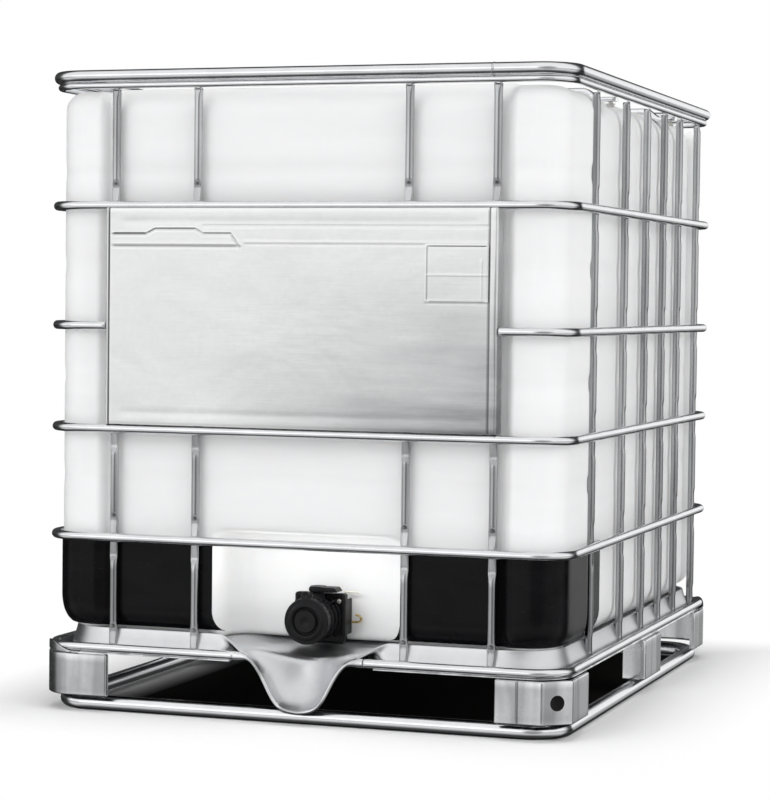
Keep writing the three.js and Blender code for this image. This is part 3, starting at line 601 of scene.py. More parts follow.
def ring_tube(name, corner, crossings=(), pressed=0.0, open_ends=None, sides=SIDES):
    """A tube bent round the cage from its CAD node's box, pressed a little flat inside at its crossings."""
    low, high = span(name)
    radius = (high[2] - low[2]) / 2
    z = (high[2] + low[2]) / 2
    half_x, half_y = (high[0] - low[0]) / 2 - radius, (high[1] - low[1]) / 2 - radius
    ends = open_ends or (None, None)
    points, outs = ring_stations(half_x, half_y, corner - radius, 9.0, 16, *ends)
    turn = circle(sides)
    rows = []
    for point, out in zip(points, outs):
        near = min((math.hypot(point[0] - x, point[1] - y) for x, y in crossings), default=1e9)
        press = pressed * smooth((HOOP_PRESS_REACH - near) / HOOP_PRESS_FADE)
        u = np.maximum(radius * np.cos(turn), -radius + press)
        v = np.clip(radius * np.sin(turn) * (1 + 0.035 * press), -radius, radius)
        rows.append(np.stack([point[0] + out[0] * u, point[1] + out[1] * u, z + v], -1))
    build = Build()
    if open_ends is None:
        build.grid(np.array(rows), wrap_rows=True, wrap_columns=True)
        return build.make(name + "_tube", 60)
    # Rounds both open ends. The ring starts at the right end of the gap, so that end rounds off towards -X.
    for end_row, sign in ((rows[0], -1.0), (rows[-1], 1.0)):
        centre = end_row.mean(0)
        rounded = [centre + (end_row - centre) * size + (sign * shift, 0, 0) for size, shift in END_ROUNDING]
        rows = rounded[::-1] + rows if sign < 0 else rows + rounded
    build.grid(np.array(rows), wrap_columns=True, caps=True)
    return build.make(name + "_tube", 60)


def seam_band(build, x, y, z, radius, along, out):
    """A low weld bead round a tube, where its two ends meet."""
    along, out = np.array(along, float), np.array(out, float)
    up = np.array([0, 0, 1.0])
    rows = []
    for shift, rise in ((-2.6, -0.3), (-1.8, 0.35), (-0.6, 0.6), (0.7, 0.55), (1.9, 0.3), (2.7, -0.3)):
        ring = []
        for t in circle(24):
            r = radius + rise + 0.12 * math.sin(5 * t + shift)
            ring.append(np.array([x, y, z]) + along * shift + out * r * math.cos(t) + up * r * math.sin(t))
        rows.append(ring)
    build.grid(np.array(rows), wrap_columns=True, caps=True)


def post_rows(low, high, out, levels):
    """A post's rings from bottom to top: pressed flat where each hoop crosses it and nipped at both ends."""
    centre = (low + high) / 2
    faces_front = abs(out[1]) > 0.5
    radius = min((high[0] - low[0]) / 2 if faces_front else (high[1] - low[1]) / 2, POST_RADIUS)
    depth = POST_PRESS if faces_front else SIDE_POST_PRESS
    side = np.array([-out[1], out[0], 0.0])
    out = np.array([out[0], out[1], 0.0])
    heights = [low[2], low[2] + 1.2]
    z = low[2] + 4.0
    while z < high[2] - 3.0:
        heights.append(z)
        near = min(abs(z - level) for level in levels)
        z += 2.5 if near < 50 else 9.0
    heights += [high[2] - 1.2, high[2]]
    rows = []
    for z in heights:
        press = 0.0
        for level in levels:
            away = abs(z - level)
            press = max(press, smooth((46.0 - away) / 13.0) * (1.0 - 0.55 * max(0.0, 29.0 - away) / 29.0))
        top = smooth((z - (high[2] - 15.0)) / 12.0)
        foot = smooth(((low[2] + 22.0) - z) / 16.0)
        u = radius * np.cos(TURN)
        v = radius * np.sin(TURN)
        # The press leaves a hollow in the tube's outer face between its two sides.
        u = u - depth * press * (np.maximum(u, 0.0) / radius) ** 0.8 * np.exp(-((v / 6.6) ** 4))
        u = np.minimum(u, radius - POST_NIP * max(top, foot))
        v = v * (1 + 0.05 * press + 0.05 * top + 0.06 * foot)
        scale = 0.86 if z in (low[2], high[2]) else 1.0
        u, v = u * scale, v * scale
        p = centre[None, :2] + np.outer(u, out[:2]) + np.outer(v, side[:2])
        rows.append(np.column_stack([p, np.full(len(u), z)]))
    return np.array(rows)


levels = [middle(h)[2] for h in HOOPS]
for rail, corner in (("top_rail", CAGE_CORNER), ("under_rail", CAGE_CORNER - 7.0)):
    piece(ring_tube(rail, corner), "root", TUBE, [rail])


def crossing(post):
    """Where a hoop's middle line passes the post, in plan."""
    return [post[k] + 9.0 * np.sign(post[k]) * (abs(post[k]) > limit) for k, limit in ((0, 470), (1, 570))]


crossings = [crossing(p) for name, p in POST_POINTS]
label_low, label_high = span("label_plate")
for hoop in HOOPS:
    ends = None
    if hoop == "hoop_3":
        ends = (label_low[0] - 2.0, label_high[0] + 2.0)
    if hoop == "hoop_6":
        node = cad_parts["hoop_6"]
        front = [v.co[0] * 1000 for v in node.data.vertices if v.co[1] * 1000 < FRONT + 20]
        trough_x = middle("outlet_nut")[0]
        ends = (max(x for x in front if x < trough_x), min(x for x in front if x > trough_x))
    tube = ring_tube(hoop, CAGE_CORNER, crossings, HOOP_PRESS, ends)
    piece(tube, "root", TUBE, [hoop])

ALONG_X, ALONG_Y, UP = np.eye(3)
# Each weld pad's rings, as (depth, share of its full size).
HOOP_WELD = ((-2.2, 0.75), (-1.2, 1.0), (0.6, 0.82), (2.4, 0.86), (3.4, 0.6))
TOP_WELD = ((-2.4, 0.35), (-1.6, 0.8), (-0.2, 1.0), (1.0, 0.7), (1.5, 0.3))


def weld_pad(build, at, wide, tall, forward, rings, sides):
    rows = [
        [at + forward * depth + wide * size * math.cos(t) + tall * size * math.sin(t) for t in circle(sides)]
        for depth, size in rings
    ]
    build.grid(np.array(rows), wrap_columns=True, caps=True)


welds = Build()
seam_band(welds, 352.0, span("top_rail")[0][1] + 11.0, middle("top_rail")[2], 11.0, (1, 0, 0), (0, -1, 0))
for name, p in POST_POINTS:
    low, high = span(name)
    out = (0.0, float(np.sign(p[1]))) if name.startswith(("front", "rear")) else (float(np.sign(p[0])), 0.0)
    build = Build()
    build.grid(post_rows(low, high, out, levels), wrap_columns=True, caps=True)
    post = build.make(name + "_tube", 50)
    piece(post, "root", POST, [name])
    forward = np.array([*out, 0.0])
    side = np.array([-out[1], out[0], 0.0])
    for hoop in HOOPS:
        if hoop == "hoop_3" and name.startswith("front"):
            continue
        at = np.array([p[0] + out[0] * 6.3, p[1] + out[1] * 6.3, middle(hoop)[2]])
        weld_pad(welds, at, side * 5.4, UP * 3.9, forward, HOOP_WELD, 14)
    for shift in (-5.0, 5.0):
        at = np.array([p[0] + out[0] * 3.0, p[1] + out[1] * 3.0, high[2]]) + side * shift
        weld_pad(welds, at, ALONG_X * 2.6, ALONG_Y * 2.6, UP, TOP_WELD, 12)
weld_piece = welds.make("cage_welds", 60)
piece(weld_piece, "root", SHEET)


# ---------------------------------------------------------------- floor runner
runner = ring_tube("floor_runner", 80.0, sides=36)
piece(runner, "root", TUBE, ["floor_runner"])


# ---------------------------------------------------------------- bottle
bottle_low, bottle_high = span("bottle")
BODY_X, BODY_Y = HALF_X - 38.0, BACK - 38.0
SWELL_X, SWELL_Y = HALF_X - 22.0, BACK - 22.0
BODY_LOW, NECK_HIGH = bottle_low[2], bottle_high[2]
BODY_HIGH = span("front_cross_bar")[1][2] - 12.3
BODY_CORNER, BODY_EDGE = 92.0, 55.0
WAIST_LEVELS, WAIST_DEPTH = (430.0, 610.0, 810.0, 980.0), 1.6
SPOKES = 8
# The corners swell only beyond these places on each axis.
SWELL_FROM_X, SWELL_FROM_Y_FRONT, SWELL_FROM_Y_REAR = 369.0, 366.0, 526.0
SWELL_FROM_Z, SWELL_RISE = 148.0, 62.0
VALVE_X, VALVE_Z = middle("outlet_nut")[[0, 2]]
POCKET_HALF, POCKET_BACK, POCKET_TOP = 177.0, span("outlet_nut")[1][1] + 2.6, 335.0
NECK_OUT = span("lid_gasket")[1][0]
BAR_Y = middle("rear_cross_bar")[1]


def skin_field(x, y, z):
    """The bottle's outside: a rounded block whose corners swell out to the hoops beyond the end posts."""
    plain = field_block(field_plan(x, y, BODY_X, BODY_Y, BODY_CORNER), z, BODY_LOW, BODY_HIGH, BODY_EDGE)
    full = field_block(field_plan(x, y, SWELL_X, SWELL_Y, 60.0), z, BODY_LOW - 60.0, BODY_HIGH - 6.0, 34.0)
    side_from = np.where(y < 0, SWELL_FROM_Y_FRONT, SWELL_FROM_Y_REAR)
    share = smooth((np.abs(x) - SWELL_FROM_X) / 24.0) * smooth((np.abs(y) - side_from) / 26.0)
    rise = np.clip((z - SWELL_FROM_Z) / SWELL_RISE, 0.0, 1.0)
    share = share * np.sqrt(1.0 - (1.0 - rise) ** 2)
    return plain + (full - plain) * share


def bottle_field(p):
    x, y, z = p
    body = skin_field(x, y, z)
    # Shallow waists in the walls and channels in the top for the hold-down bars.
    for level in WAIST_LEVELS:
        body = body + WAIST_DEPTH * np.exp(-(((z - level) / 15.0) ** 2))
    channel = np.maximum(np.abs(np.abs(y) - BAR_Y) - 19.0, BODY_HIGH - 7.0 - z)
    body = fmax(body, -channel, 5.0)
    radius = np.sqrt(x**2 + y**2)
    moat = np.maximum(np.abs(radius - 106.0) - 11.0, BODY_HIGH - 6.0 - z)
    body = fmax(body, -moat, 5.0)
    for turn in range(SPOKES):
        t = math.pi / SPOKES * (1 + 2 * turn)
        along = x * math.cos(t) + y * math.sin(t)
        across = -x * math.sin(t) + y * math.cos(t)
        slot = np.maximum(np.maximum(np.abs(across) - 7.0, np.abs(along - 196.0) - 44.0), BODY_HIGH - 5.0 - z)
        body = fmax(body, -slot, 5.0)
    front = (POCKET_BACK + FRONT - 60.0) / 2
    pocket = field_plan(x - VALVE_X, y - front, POCKET_HALF, (POCKET_BACK - FRONT + 60.0) / 2, 40.0)
    pocket = field_block(pocket, z, BODY_LOW - 200.0, POCKET_TOP, 26.0)
    body = fmax(body, -pocket, 12.0)
    neck = field_rod(p, 2, (0, 0), NECK_OUT, BODY_HIGH - 30.0, NECK_HIGH, 1.2)
    spigot = field_rod(p, 1, (VALVE_X, VALVE_Z), 38.0, POCKET_BACK - 12.0, POCKET_BACK + 20.0, 1.2)
    return fmin(fmin(body, neck, 7.0), spigot, 5.0)


def stations(*parts):
    """Grid stations from stretches of (start, end, step)."""
    made = []
    for start, end, step in parts:
        count = max(1, round((end - start) / step))
        made.extend(np.linspace(start, end, count, endpoint=False))
    made.append(parts[-1][1])
    return np.array(made)


pocket_left, pocket_right = VALVE_X - POCKET_HALF, VALVE_X + POCKET_HALF
x_axis = stations(
    (-SWELL_X - 7, -BODY_X + 5, 4), (-BODY_X + 5, -350, 6), (-350, pocket_left - 16, 17),
    (pocket_left - 16, pocket_left + 44, 5), (pocket_left + 44, -98, 9), (-98, -60, 4),
    (-60, -26, 6), (-26, 60, 5),
    (60, 98, 4), (98, pocket_right - 44, 8), (pocket_right - 44, pocket_right + 16, 5),
    (pocket_right + 16, 350, 17), (350, BODY_X - 5, 6), (BODY_X - 5, SWELL_X + 7, 4),
)
y_axis = stations(
    (-SWELL_Y - 7, -BODY_Y + 5, 4), (-BODY_Y + 5, -500, 6), (-500, POCKET_BACK - 20, 6),
    (POCKET_BACK - 20, POCKET_BACK + 12, 3.4), (POCKET_BACK + 12, -BAR_Y - 30, 14),
    (-BAR_Y - 30, -BAR_Y + 30, 5), (-BAR_Y + 30, -98, 12), (-98, -60, 4),
    (-60, 60, 8), (60, 98, 4), (98, BAR_Y - 30, 12), (BAR_Y - 30, BAR_Y + 30, 5), (BAR_Y + 30, 450, 16),
    (450, BODY_Y - 5, 6), (BODY_Y - 5, SWELL_Y + 7, 4),
)
z_axis = stations(
    (BODY_LOW - 8, BODY_LOW + 4, 4), (BODY_LOW + 4, 226, 4), (226, 296, 9), (296, 346, 5), (346, 400, 14),
    (400, 460, 8), (460, 580, 16), (580, 640, 8), (640, 780, 16), (780, 840, 8), (840, 950, 16),
    (950, 1010, 8), (1010, 1076, 8),
    (1076, BODY_HIGH - 10, 6), (BODY_HIGH - 10, NECK_HIGH + 6, 2.4),
)
verts, quads = field_mesh(bottle_field, (x_axis, y_axis, z_axis))
quads = np.array(quads)
centres = verts[quads].mean(1)
WALL_THICKNESS = 4.0
NECK_BORE, OUTLET_BORE = NECK_OUT - WALL_THICKNESS, 34.0
top_hole = (np.hypot(centres[:, 0], centres[:, 1]) < NECK_BORE - 1) & (centres[:, 2] > NECK_HIGH - 1)
from_axis = np.hypot(centres[:, 0] - VALVE_X, centres[:, 2] - VALVE_Z)
front_hole = (from_axis < OUTLET_BORE - 3) & (centres[:, 1] < POCKET_BACK - 10)
keep = ~(top_hole | front_hole)
kept = quads[keep]
edge_count = {}
for q in kept:
    for a, b in zip(q, np.roll(q, -1)):
        key = (min(a, b), max(a, b))
        edge_count[key] = edge_count.get(key, 0) + 1
rim = sorted({v for (a, b), n in edge_count.items() if n == 1 for v in (a, b)})
for v in rim:
    if verts[v][2] > NECK_HIGH - 4:
        r = np.hypot(verts[v][0], verts[v][1])
        verts[v][:2] *= (NECK_BORE + 2.0) / r
    else:
        on_axis = np.array([VALVE_X, verts[v][1], VALVE_Z])
        offset = verts[v] - on_axis
        verts[v] = on_axis + offset * (OUTLET_BORE + 1) / np.linalg.norm(offset)
used = np.unique(kept)
renumber = -np.ones(len(verts), int)
renumber[used] = np.arange(len(used))
bottle = mesh_of("bottle_shell", verts[used], renumber[kept].tolist(), 180)
wall = WALL_THICKNESS * MM
modify(bottle, "SOLIDIFY", "wall", thickness=wall, offset=-1.0, use_rim=True, use_even_offset=False)
shade(bottle, 60)
piece(bottle, "root", BOTTLE, ["bottle"])

# Thread on the fill neck.
THREAD_STEPS, THREAD_TURNS, THREAD_RISE = 120, 1.6, 5.6
thread = Build()
rows = []
for i in range(THREAD_STEPS + 1):
    t = i / THREAD_STEPS * 2 * math.pi * THREAD_TURNS
    z = BODY_HIGH + 6.2 + THREAD_RISE * i / THREAD_STEPS
    fade = min(1.0, i / 6, (THREAD_STEPS - i) / 6)
    ring = []
    for u, v in ((-0.4, -1.3), (0.75, -0.5), (0.75, 0.5), (-0.4, 1.3)):
        r = NECK_OUT + (u if u < 0 else u * fade)
        ring.append((r * math.cos(t), r * math.sin(t), z + v * (0.3 + 0.7 * fade)))
    rows.append(ring)
thread.grid(np.array(rows), wrap_columns=True, caps=True)
piece(thread.make("neck_thread", 50), "root", BOTTLE)


# ---------------------------------------------------------------- corner guards
def guard_points(sign):
    """Plan points on the plain block and the outward directions from them, over one guard's grid."""
    low, high = span("left_corner_guard" if sign < 0 else "right_corner_guard")
    bottom, top, side_end = low[2], high[2], high[1]
    inner = VALVE_X + sign * (POCKET_HALF + 1.0)
    corner_x, corner_y = BODY_X - BODY_CORNER, BODY_Y - BODY_CORNER
    points, directions = [], []
    ups = np.concatenate([
        np.linspace(0, 1, 12) ** 1.3 * 40.0,
        40.0 + np.linspace(0.05, 1, 20) * (top - bottom - 40.0),
    ])
    for up in ups:
        # The lower inner corner sweeps towards the middle.
        sweep = 21.6 * (1 - math.sqrt(max(0.0, 1 - (1 - up / 36.0) ** 2))) if up < 36.0 else 0.0
        edge = abs(inner - sign * sweep)
        row, way = [], []
        for s in np.linspace(0, 1, 40):
            row.append((sign * (edge + (corner_x - edge) * s), -corner_y))
            way.append((0.0, -1.0))
        for t in np.linspace(0, math.pi / 2, 22)[1:-1]:
            row.append((sign * corner_x, -corner_y))
            way.append((sign * math.sin(t), -math.cos(t)))
        for s in np.linspace(0, 1, 34):
            row.append((sign * corner_x, -corner_y + (side_end + corner_y) * s))
            way.append((float(sign), 0.0))
        points.append([(x, y, bottom + up) for x, y in row])
        directions.append([(u, v, 0.0) for u, v in way])
    return np.array(points), np.array(directions)


def march(points, directions, lift):
    """Moves points out along their directions to a distance from the bottle's skin."""
    near, far = np.zeros(points.shape[:2]), np.full(points.shape[:2], 200.0)
    for _ in range(26):
        half = (near + far) / 2
        place = points + directions * half[..., None]
        inside = skin_field(place[..., 0], place[..., 1], place[..., 2]) < lift
        near, far = np.where(inside, half, near), np.where(inside, far, half)
    return points + directions * far[..., None]


def guard(sign, name):
    points, directions = guard_points(sign)
    inner, outer = march(points, directions, 0.5), march(points, directions, 2.6)
    rows, columns = inner.shape[:2]
    # A rolled rim, a little prouder and rounded over.
    normal = (outer - inner) / np.maximum(np.linalg.norm(outer - inner, axis=2, keepdims=True), 1e-6)
    edges = (outer[:, :1], outer[:, -1:], outer[:1], outer[-1:])
    near = np.min([np.linalg.norm(outer - edge, axis=2) for edge in edges], axis=0)
    bead = 0.7 * np.sin(np.clip(near / 5.0, 0, 1) * math.pi) - 0.9 * (1 - np.clip(near / 1.6, 0, 1))
    rim = np.where(near < 5.0, bead, 0.0)
    outer = outer + normal * rim[..., None]
    n = rows * columns
    verts = np.concatenate([inner.reshape(-1, 3), outer.reshape(-1, 3)])
    faces = grid_faces(rows, columns) + [f[::-1] for f in grid_faces(rows, columns, start=n)]
    loop = list(range(columns)) + [r * columns + columns - 1 for r in range(1, rows)]
    loop += [(rows - 1) * columns + c for c in range(columns - 2, -1, -1)]
    loop += [r * columns for r in range(rows - 2, 0, -1)]
    for a, b in zip(loop, loop[1:] + loop[:1]):
        faces.append([a, b, b + n, a + n])
    return mesh_of(name, verts, faces, 55)


for sign, side in ((-1, "left"), (1, "right")):
    piece(guard(sign, f"{side}_guard_shell"), "root", GUARD, [f"{side}_corner_guard"])


# ---------------------------------------------------------------- label plate
def line_distance(x, z, points):
    """Distance from each (x, z) to a broken line."""
    best = np.full(np.shape(x), 1e9)
    for (x0, z0), (x1, z1) in zip(points, points[1:]):
        dx, dz = x1 - x0, z1 - z0
        t = np.clip(((x - x0) * dx + (z - z0) * dz) / (dx * dx + dz * dz), 0, 1)
        best = np.minimum(best, np.hypot(x - x0 - t * dx, z - z0 - t * dz))
    return best


def pressed_line(x, z, points, width, depth):
    return depth * (1 - smooth(line_distance(x, z, points) / width))


PLATE_Y = label_low[1] + 1.1
# The raised ledge's lower and upper edges, as (X, height).
LEDGE = [
    (-352, 865.3), (-287, 865.5), (-269.6, 874.4), (-192.3, 874.6),
    (-176.9, 865.8), (-125.3, 865.9), (-108, 843.1),
]
LEDGE_UP = [
    (-352, 868.6), (-288, 868.8), (-270.6, 877.7), (-191.5, 877.9),
    (-176.0, 869.1), (-124, 869.2), (-106, 846.0),
]


def plate_depth(x, z):
    """How far the sheet's face stands back from its nominal plane, in millimetres."""
    low, high = label_low[2], label_high[2]
    d = pressed_line(x, z, LEDGE, 2.6, 1.7) - pressed_line(x, z, LEDGE_UP, 2.4, 0.9)
    for height, start, end, width, depth in (
        (880.3, -178.0, 350.0, 3.2, 0.8), (852.4, -100.0, 350.0, 3.6, -0.45),
        (848.0, -96.0, 350.0, 2.4, 0.45), (849.5, -352.0, -112.0, 3.4, -1.1), (843.6, -352.0, -108.0, 2.6, 1.1),
    ):
        d = d + pressed_line(x, z, [(start, height), (end, height)], width, depth)
    box = [(238, 848), (349, 848), (349, 751.5), (238, 751.5), (238, 848)]
    shifted = [(a + 2.6, b - 2.6) for a, b in box]
    d = d - pressed_line(x, z, box, 2.2, 1.4) + pressed_line(x, z, shifted, 1.6, 0.5)
    d = d - pressed_line(x, z, [(240, 797), (349, 797)], 2.0, 0.7)
    d = d - pressed_line(x, z, [(337, 822), (337, 753)], 2.0, 0.6)
    for crease in PLATE_CREASES:
        d = d + pressed_line(x, z, [(crease, low), (crease, high)], 1.8, 1.5)
    for height in (low + 22, high - 24):
        d = d + 0.55 * np.exp(-(((z - height) / 7.0) ** 2)) * smooth((350 - np.abs(x)) / 30.0)
    # The sheet is not quite flat: a shallow dent right of the middle and slow waves.
    d = d + 1.5 * np.exp(-(((x - 282) / 46.0) ** 2 + ((z - 668) / 52.0) ** 2))
    d = d + 0.30 * np.sin(x / 83.0 + 0.7) * np.cos(z / 61.0) + 0.22 * np.sin(x / 37.0 + z / 49.0)
    return d


plate_half = label_high[0] - 0.75
plate_bottom, plate_top = label_low[2], 912.0
returns = label_high[1] - 0.8
FOLD, BEND_STEPS = 5.0, 7


def plate_section():
    """Across the plate, from the left return, round the fold, over the face and to the right return.
    The third value is 1 on the pressed face."""
    turns = [math.pi / 2 * i / BEND_STEPS for i in range(1, BEND_STEPS)]
    back = PLATE_Y + FOLD
    section = [(-plate_half, y, 0.0) for y in np.linspace(returns, back, 9)]
    section += [(-plate_half + FOLD - FOLD * math.cos(t), back - FOLD * math.sin(t), 0.0) for t in turns]
    section += [(x, PLATE_Y, 1.0) for x in np.linspace(-plate_half + FOLD, plate_half - FOLD, 362)]
    section += [(plate_half - FOLD + FOLD * math.sin(t), back - FOLD * math.cos(t), 0.0) for t in turns]
    return section + [(plate_half, y, 0.0) for y in np.linspace(back, returns, 9)]


cross = np.array(plate_section())
levels_z = np.linspace(plate_bottom + 0.4, plate_top - 0.4, 200)
X = np.repeat(cross[None, :, 0], len(levels_z), 0)
Y = np.repeat(cross[None, :, 1], len(levels_z), 0)
Z = np.repeat(levels_z[:, None], len(cross), 1)
on_face = cross[None, :, 2]
edge = smooth((Z - plate_bottom) / 7.0) * smooth((plate_top - Z) / 7.0)
# Hemmed top and bottom edges roll back a little.
Y = Y + plate_depth(X, Z) * on_face + (1 - edge) ** 2 * 1.1 * on_face
plate = Build().grid(np.stack([X, Y, Z], -1)).make("label_sheet_metal", 50)
if plate.data.polygons[len(plate.data.polygons) // 2].normal.y > 0:
    plate.data.flip_normals()
modify(plate, "SOLIDIFY", "thickness", thickness=1.2 * MM, offset=-1.0, use_rim=True)
shade(plate, 45)
piece(plate, "root", LABEL, ["label_plate"])


# ---------------------------------------------------------------- tray
WALL_X, WALL_Y = BODY_X + 4.0, BODY_Y + 4.0
FLOOR_Z, RIM_Z, FLANGE_Z = 135.7, span("tray")[1][2], span("hoop_6")[0][2] - 0.3
LIP_Y = FRONT + 3.6
TROUGH_X = middle("outlet_nut")[0] - 1.0
TROUGH_END, TROUGH_FULL = 165.0, 83.0
LIP_REACH = (0, 16, 26, 36, 43, 49, 55, 61, 68, 75, 82, 89, 98, 110, 125)
LIP_RISE = (24.2, 26.2, 29.0, 34.4, 42.0, 50.5, 61.0, 73.0, 86.0, 97.0, 106.0, 112.5, 116.5, 118.0, 118.0)
SECTION_SHEET, SECTION_ROLL, SECTION_UNDER = 34, 9, 12


def lip_height(dx):
    """Height of the trough's lip at a distance from the trough's middle."""
    return float(np.interp(abs(dx), LIP_REACH, LIP_RISE))


def bezier(a, b, c, d, count):
    t = np.linspace(0, 1, count)[:, None]
    a, b, c, d = (np.array(v, float) for v in (a, b, c, d))
    return (1 - t) ** 3 * a + 3 * t * (1 - t) ** 2 * b + 3 * t**2 * (1 - t) * c + t**3 * d


def even(line, count):
    """The same line with evenly spaced points."""
    steps = np.concatenate([[0], np.cumsum(np.linalg.norm(np.diff(line, axis=0), axis=1))])
    at = np.linspace(0, steps[-1], count)
    return np.stack([np.interp(at, steps, line[:, k]) for k in range(2)], -1)


tray_outline, tray_outs = ring_stations(WALL_X, WALL_Y, BODY_CORNER + 4.0, 12.0, 16)
# The front is set out again with close stations across the trough.
front_half = WALL_X - BODY_CORNER - 4.0
CLOSE = 160
close_right, close_left = VALVE_X + CLOSE, VALVE_X - CLOSE
front_x = np.concatenate([np.linspace(0, close_right, 52), np.linspace(close_right, front_half, 16)[1:-1]])
left_x = np.concatenate([np.linspace(-front_half, close_left, 16)[1:-1], np.linspace(close_left, 0, 48)[:-1]])
on_front = (np.abs(tray_outline[:, 1] + WALL_Y) < 0.01) & (np.abs(tray_outline[:, 0]) < front_half - 0.01)


def front_line(xs):
    return [np.array([x, -WALL_Y]) for x in xs]


FORWARD = np.array([0.0, -1.0])
stations_xy = front_line(front_x) + list(tray_outline[~on_front]) + front_line(left_x)
stations_out = [FORWARD] * len(front_x) + list(tray_outs[~on_front]) + [FORWARD] * len(left_x)


def wall_section():
    """Across the plain wall, as (outward, height): floor, inside, rolled rim, outside down to the flange."""
    thick = 2.2
    floor_line = [(-100.0 - thick, FLOOR_Z), (-60.0, FLOOR_Z), (-30.0, FLOOR_Z)]
    turn = np.linspace(0, math.pi / 2, 8)
    bend = [(-thick - 10 + 10 * math.sin(t), FLOOR_Z + 10 - 10 * math.cos(t)) for t in turn]
    inside = [(-thick, RIM_Z - 6.0), (-thick, RIM_Z - 3.4)]
    sheet = even(np.array(floor_line + bend + inside), SECTION_SHEET)
    turn = np.linspace(0, math.pi, SECTION_ROLL)
    roll = np.stack([-thick / 2 - 0.2 - 1.5 * np.cos(turn), RIM_Z - 2.4 + 2.2 * np.sin(turn)], -1)
    outside = [(0.5, RIM_Z - 4.6), (3.0, RIM_Z - 14.0), (7.0, RIM_Z - 26.0), (9.5, FLANGE_Z + 8)]
    turn = np.linspace(0, math.pi / 2, 6)
    foot = [(16 - 6.5 * math.cos(t), FLANGE_Z + 6.5 - 6.5 * math.sin(t)) for t in turn]
    return sheet, roll, even(np.array(outside + foot), SECTION_UNDER)


def trough_section(dx):
    """Through the trough, as (Y, height): sloping shelf, edge where it turns down, bowl, lip, underside."""
    spread = smooth(abs(dx) / 95.0)
    lip = np.array([LIP_Y, lip_height(dx)])
    edge = np.array([-538.0 - 36.0 * spread, 114.0 + 16.0 * spread])
    edge[1] = max(edge[1], lip[1] + 2.0)
    drop, reach = edge[1] - lip[1], lip[0] - edge[0]
    shelf = bezier((-464.0, FLOOR_Z - 8.0), (-486.0, 121.0 + 8 * spread), edge + (26.0, 5.0), edge, 12)
    bowl = bezier(edge, edge + (0.10 * reach - 3.0, -0.46 * drop), lip - (0.62 * reach, -0.05 * drop), lip, 24)
    line = np.concatenate([shelf, bowl[1:]])
    for _ in range(3):
        line[1:-1] = 0.25 * line[:-2] + 0.5 * line[1:-1] + 0.25 * line[2:]
    sheet = even(line, SECTION_SHEET)
    roll = np.tile(lip, (SECTION_ROLL, 1)) + np.linspace((0, 0.0), (0.2, -2.4), SECTION_ROLL)
    back = sheet[::-1][: SECTION_UNDER * 2 : 2] + (1.2, -2.6)
    return sheet, roll, back


WALL = np.concatenate(wall_section())
rows = []
for point, out in zip(stations_xy, stations_out):
    p = np.stack([point[0] + out[0] * WALL[:, 0], point[1] + out[1] * WALL[:, 0], WALL[:, 1]], -1)
    dx = point[0] - TROUGH_X
    if out[1] < -0.99 and abs(dx) < TROUGH_END:
        q = np.concatenate(trough_section(dx))
        target = np.stack([np.full(len(q), point[0]), q[:, 0], q[:, 1]], -1)
        p = p + (target - p) * smooth((TROUGH_END - abs(dx)) / (TROUGH_END - TROUGH_FULL))
    rows.append(p)
rows = np.array(rows)
pan = Build().grid(rows, wrap_rows=True)
# Floor of the pan inside the ring, with shallow drain ribs pressed in it.
inner_ring = rows[:, 0]
count = len(inner_ring)
rings = [inner_ring]
for share in (0.8, 0.6, 0.4, 0.2):
    ring = inner_ring * np.array([share, share, 1.0])
    ring[:, 2] = FLOOR_Z - 0.4 * (1 - share)
    rings.append(ring)
pan.grid(np.array(rings), wrap_columns=True)
start = len(pan.verts)
pan.verts.append([0.0, 0.0, FLOOR_Z - 0.6])
base_index = start - count
pan.faces.extend([[base_index + i, base_index + (i + 1) % count, start] for i in range(count)])
tray = pan.make("tray_pan", 50)
bm = bmesh.new()
bm.from_mesh(tray.data)
bmesh.ops.remove_doubles(bm, verts=bm.verts, dist=0.00005)
bmesh.ops.recalc_face_normals(bm, faces=bm.faces)
bm.to_mesh(tray.data)
bm.free()
modify(tray, "SOLIDIFY", "thickness", thickness=1.6 * MM, offset=0.0, use_rim=True)
shade(tray, 45)
piece(tray, "root", PAN, ["tray"])

# A rolled bead runs along the trough's lip and carries on the lowest hoop's line.
hoop_low, hoop_high = span("hoop_6")
HOOP_Z, HOOP_R = (hoop_low[2] + hoop_high[2]) / 2, (hoop_high[2] - hoop_low[2]) / 2
rod_x = np.concatenate([
    np.linspace(-121.5, -92.0, 15), np.linspace(-90.0, 90.0, 110), np.linspace(92.0, 121.5, 15),
])


def to_hoop(dx):
    """0 along the lip, 1 where its bead has become the hoop's line."""
    return smooth((abs(dx) - 84.0) / 32.0)


def bead_place(dx):
    lip = np.array([TROUGH_X + dx, FRONT + 3.4, lip_height(dx)])
    hoop = np.array([TROUGH_X + dx, FRONT + HOOP_R, HOOP_Z])
    return lip + (hoop - lip) * to_hoop(dx)


centre_line = np.array([bead_place(dx) for dx in rod_x])
for _ in range(4):
    centre_line[1:-1] = 0.25 * centre_line[:-2] + 0.5 * centre_line[1:-1] + 0.25 * centre_line[2:]
tangents = np.gradient(centre_line, axis=0)
tangents /= np.linalg.norm(tangents, axis=1)[:, None]
rod_rows = []
turn = circle(20)
for dx, place, tangent in zip(rod_x, centre_line, tangents):
    radius = 3.1 + (HOOP_R - 3.25) * to_hoop(dx)
    side = np.cross(tangent, (0, 1.0, 0))
    side /= np.linalg.norm(side)
    front = np.cross(side, tangent)
    rod_rows.append(place + radius * (np.cos(turn)[:, None] * side + np.sin(turn)[:, None] * front))
lip_rod = Build().grid(np.array(rod_rows), wrap_columns=True, caps=True).make("trough_lip_bead", 60)
piece(lip_rod, "root", SHEET)

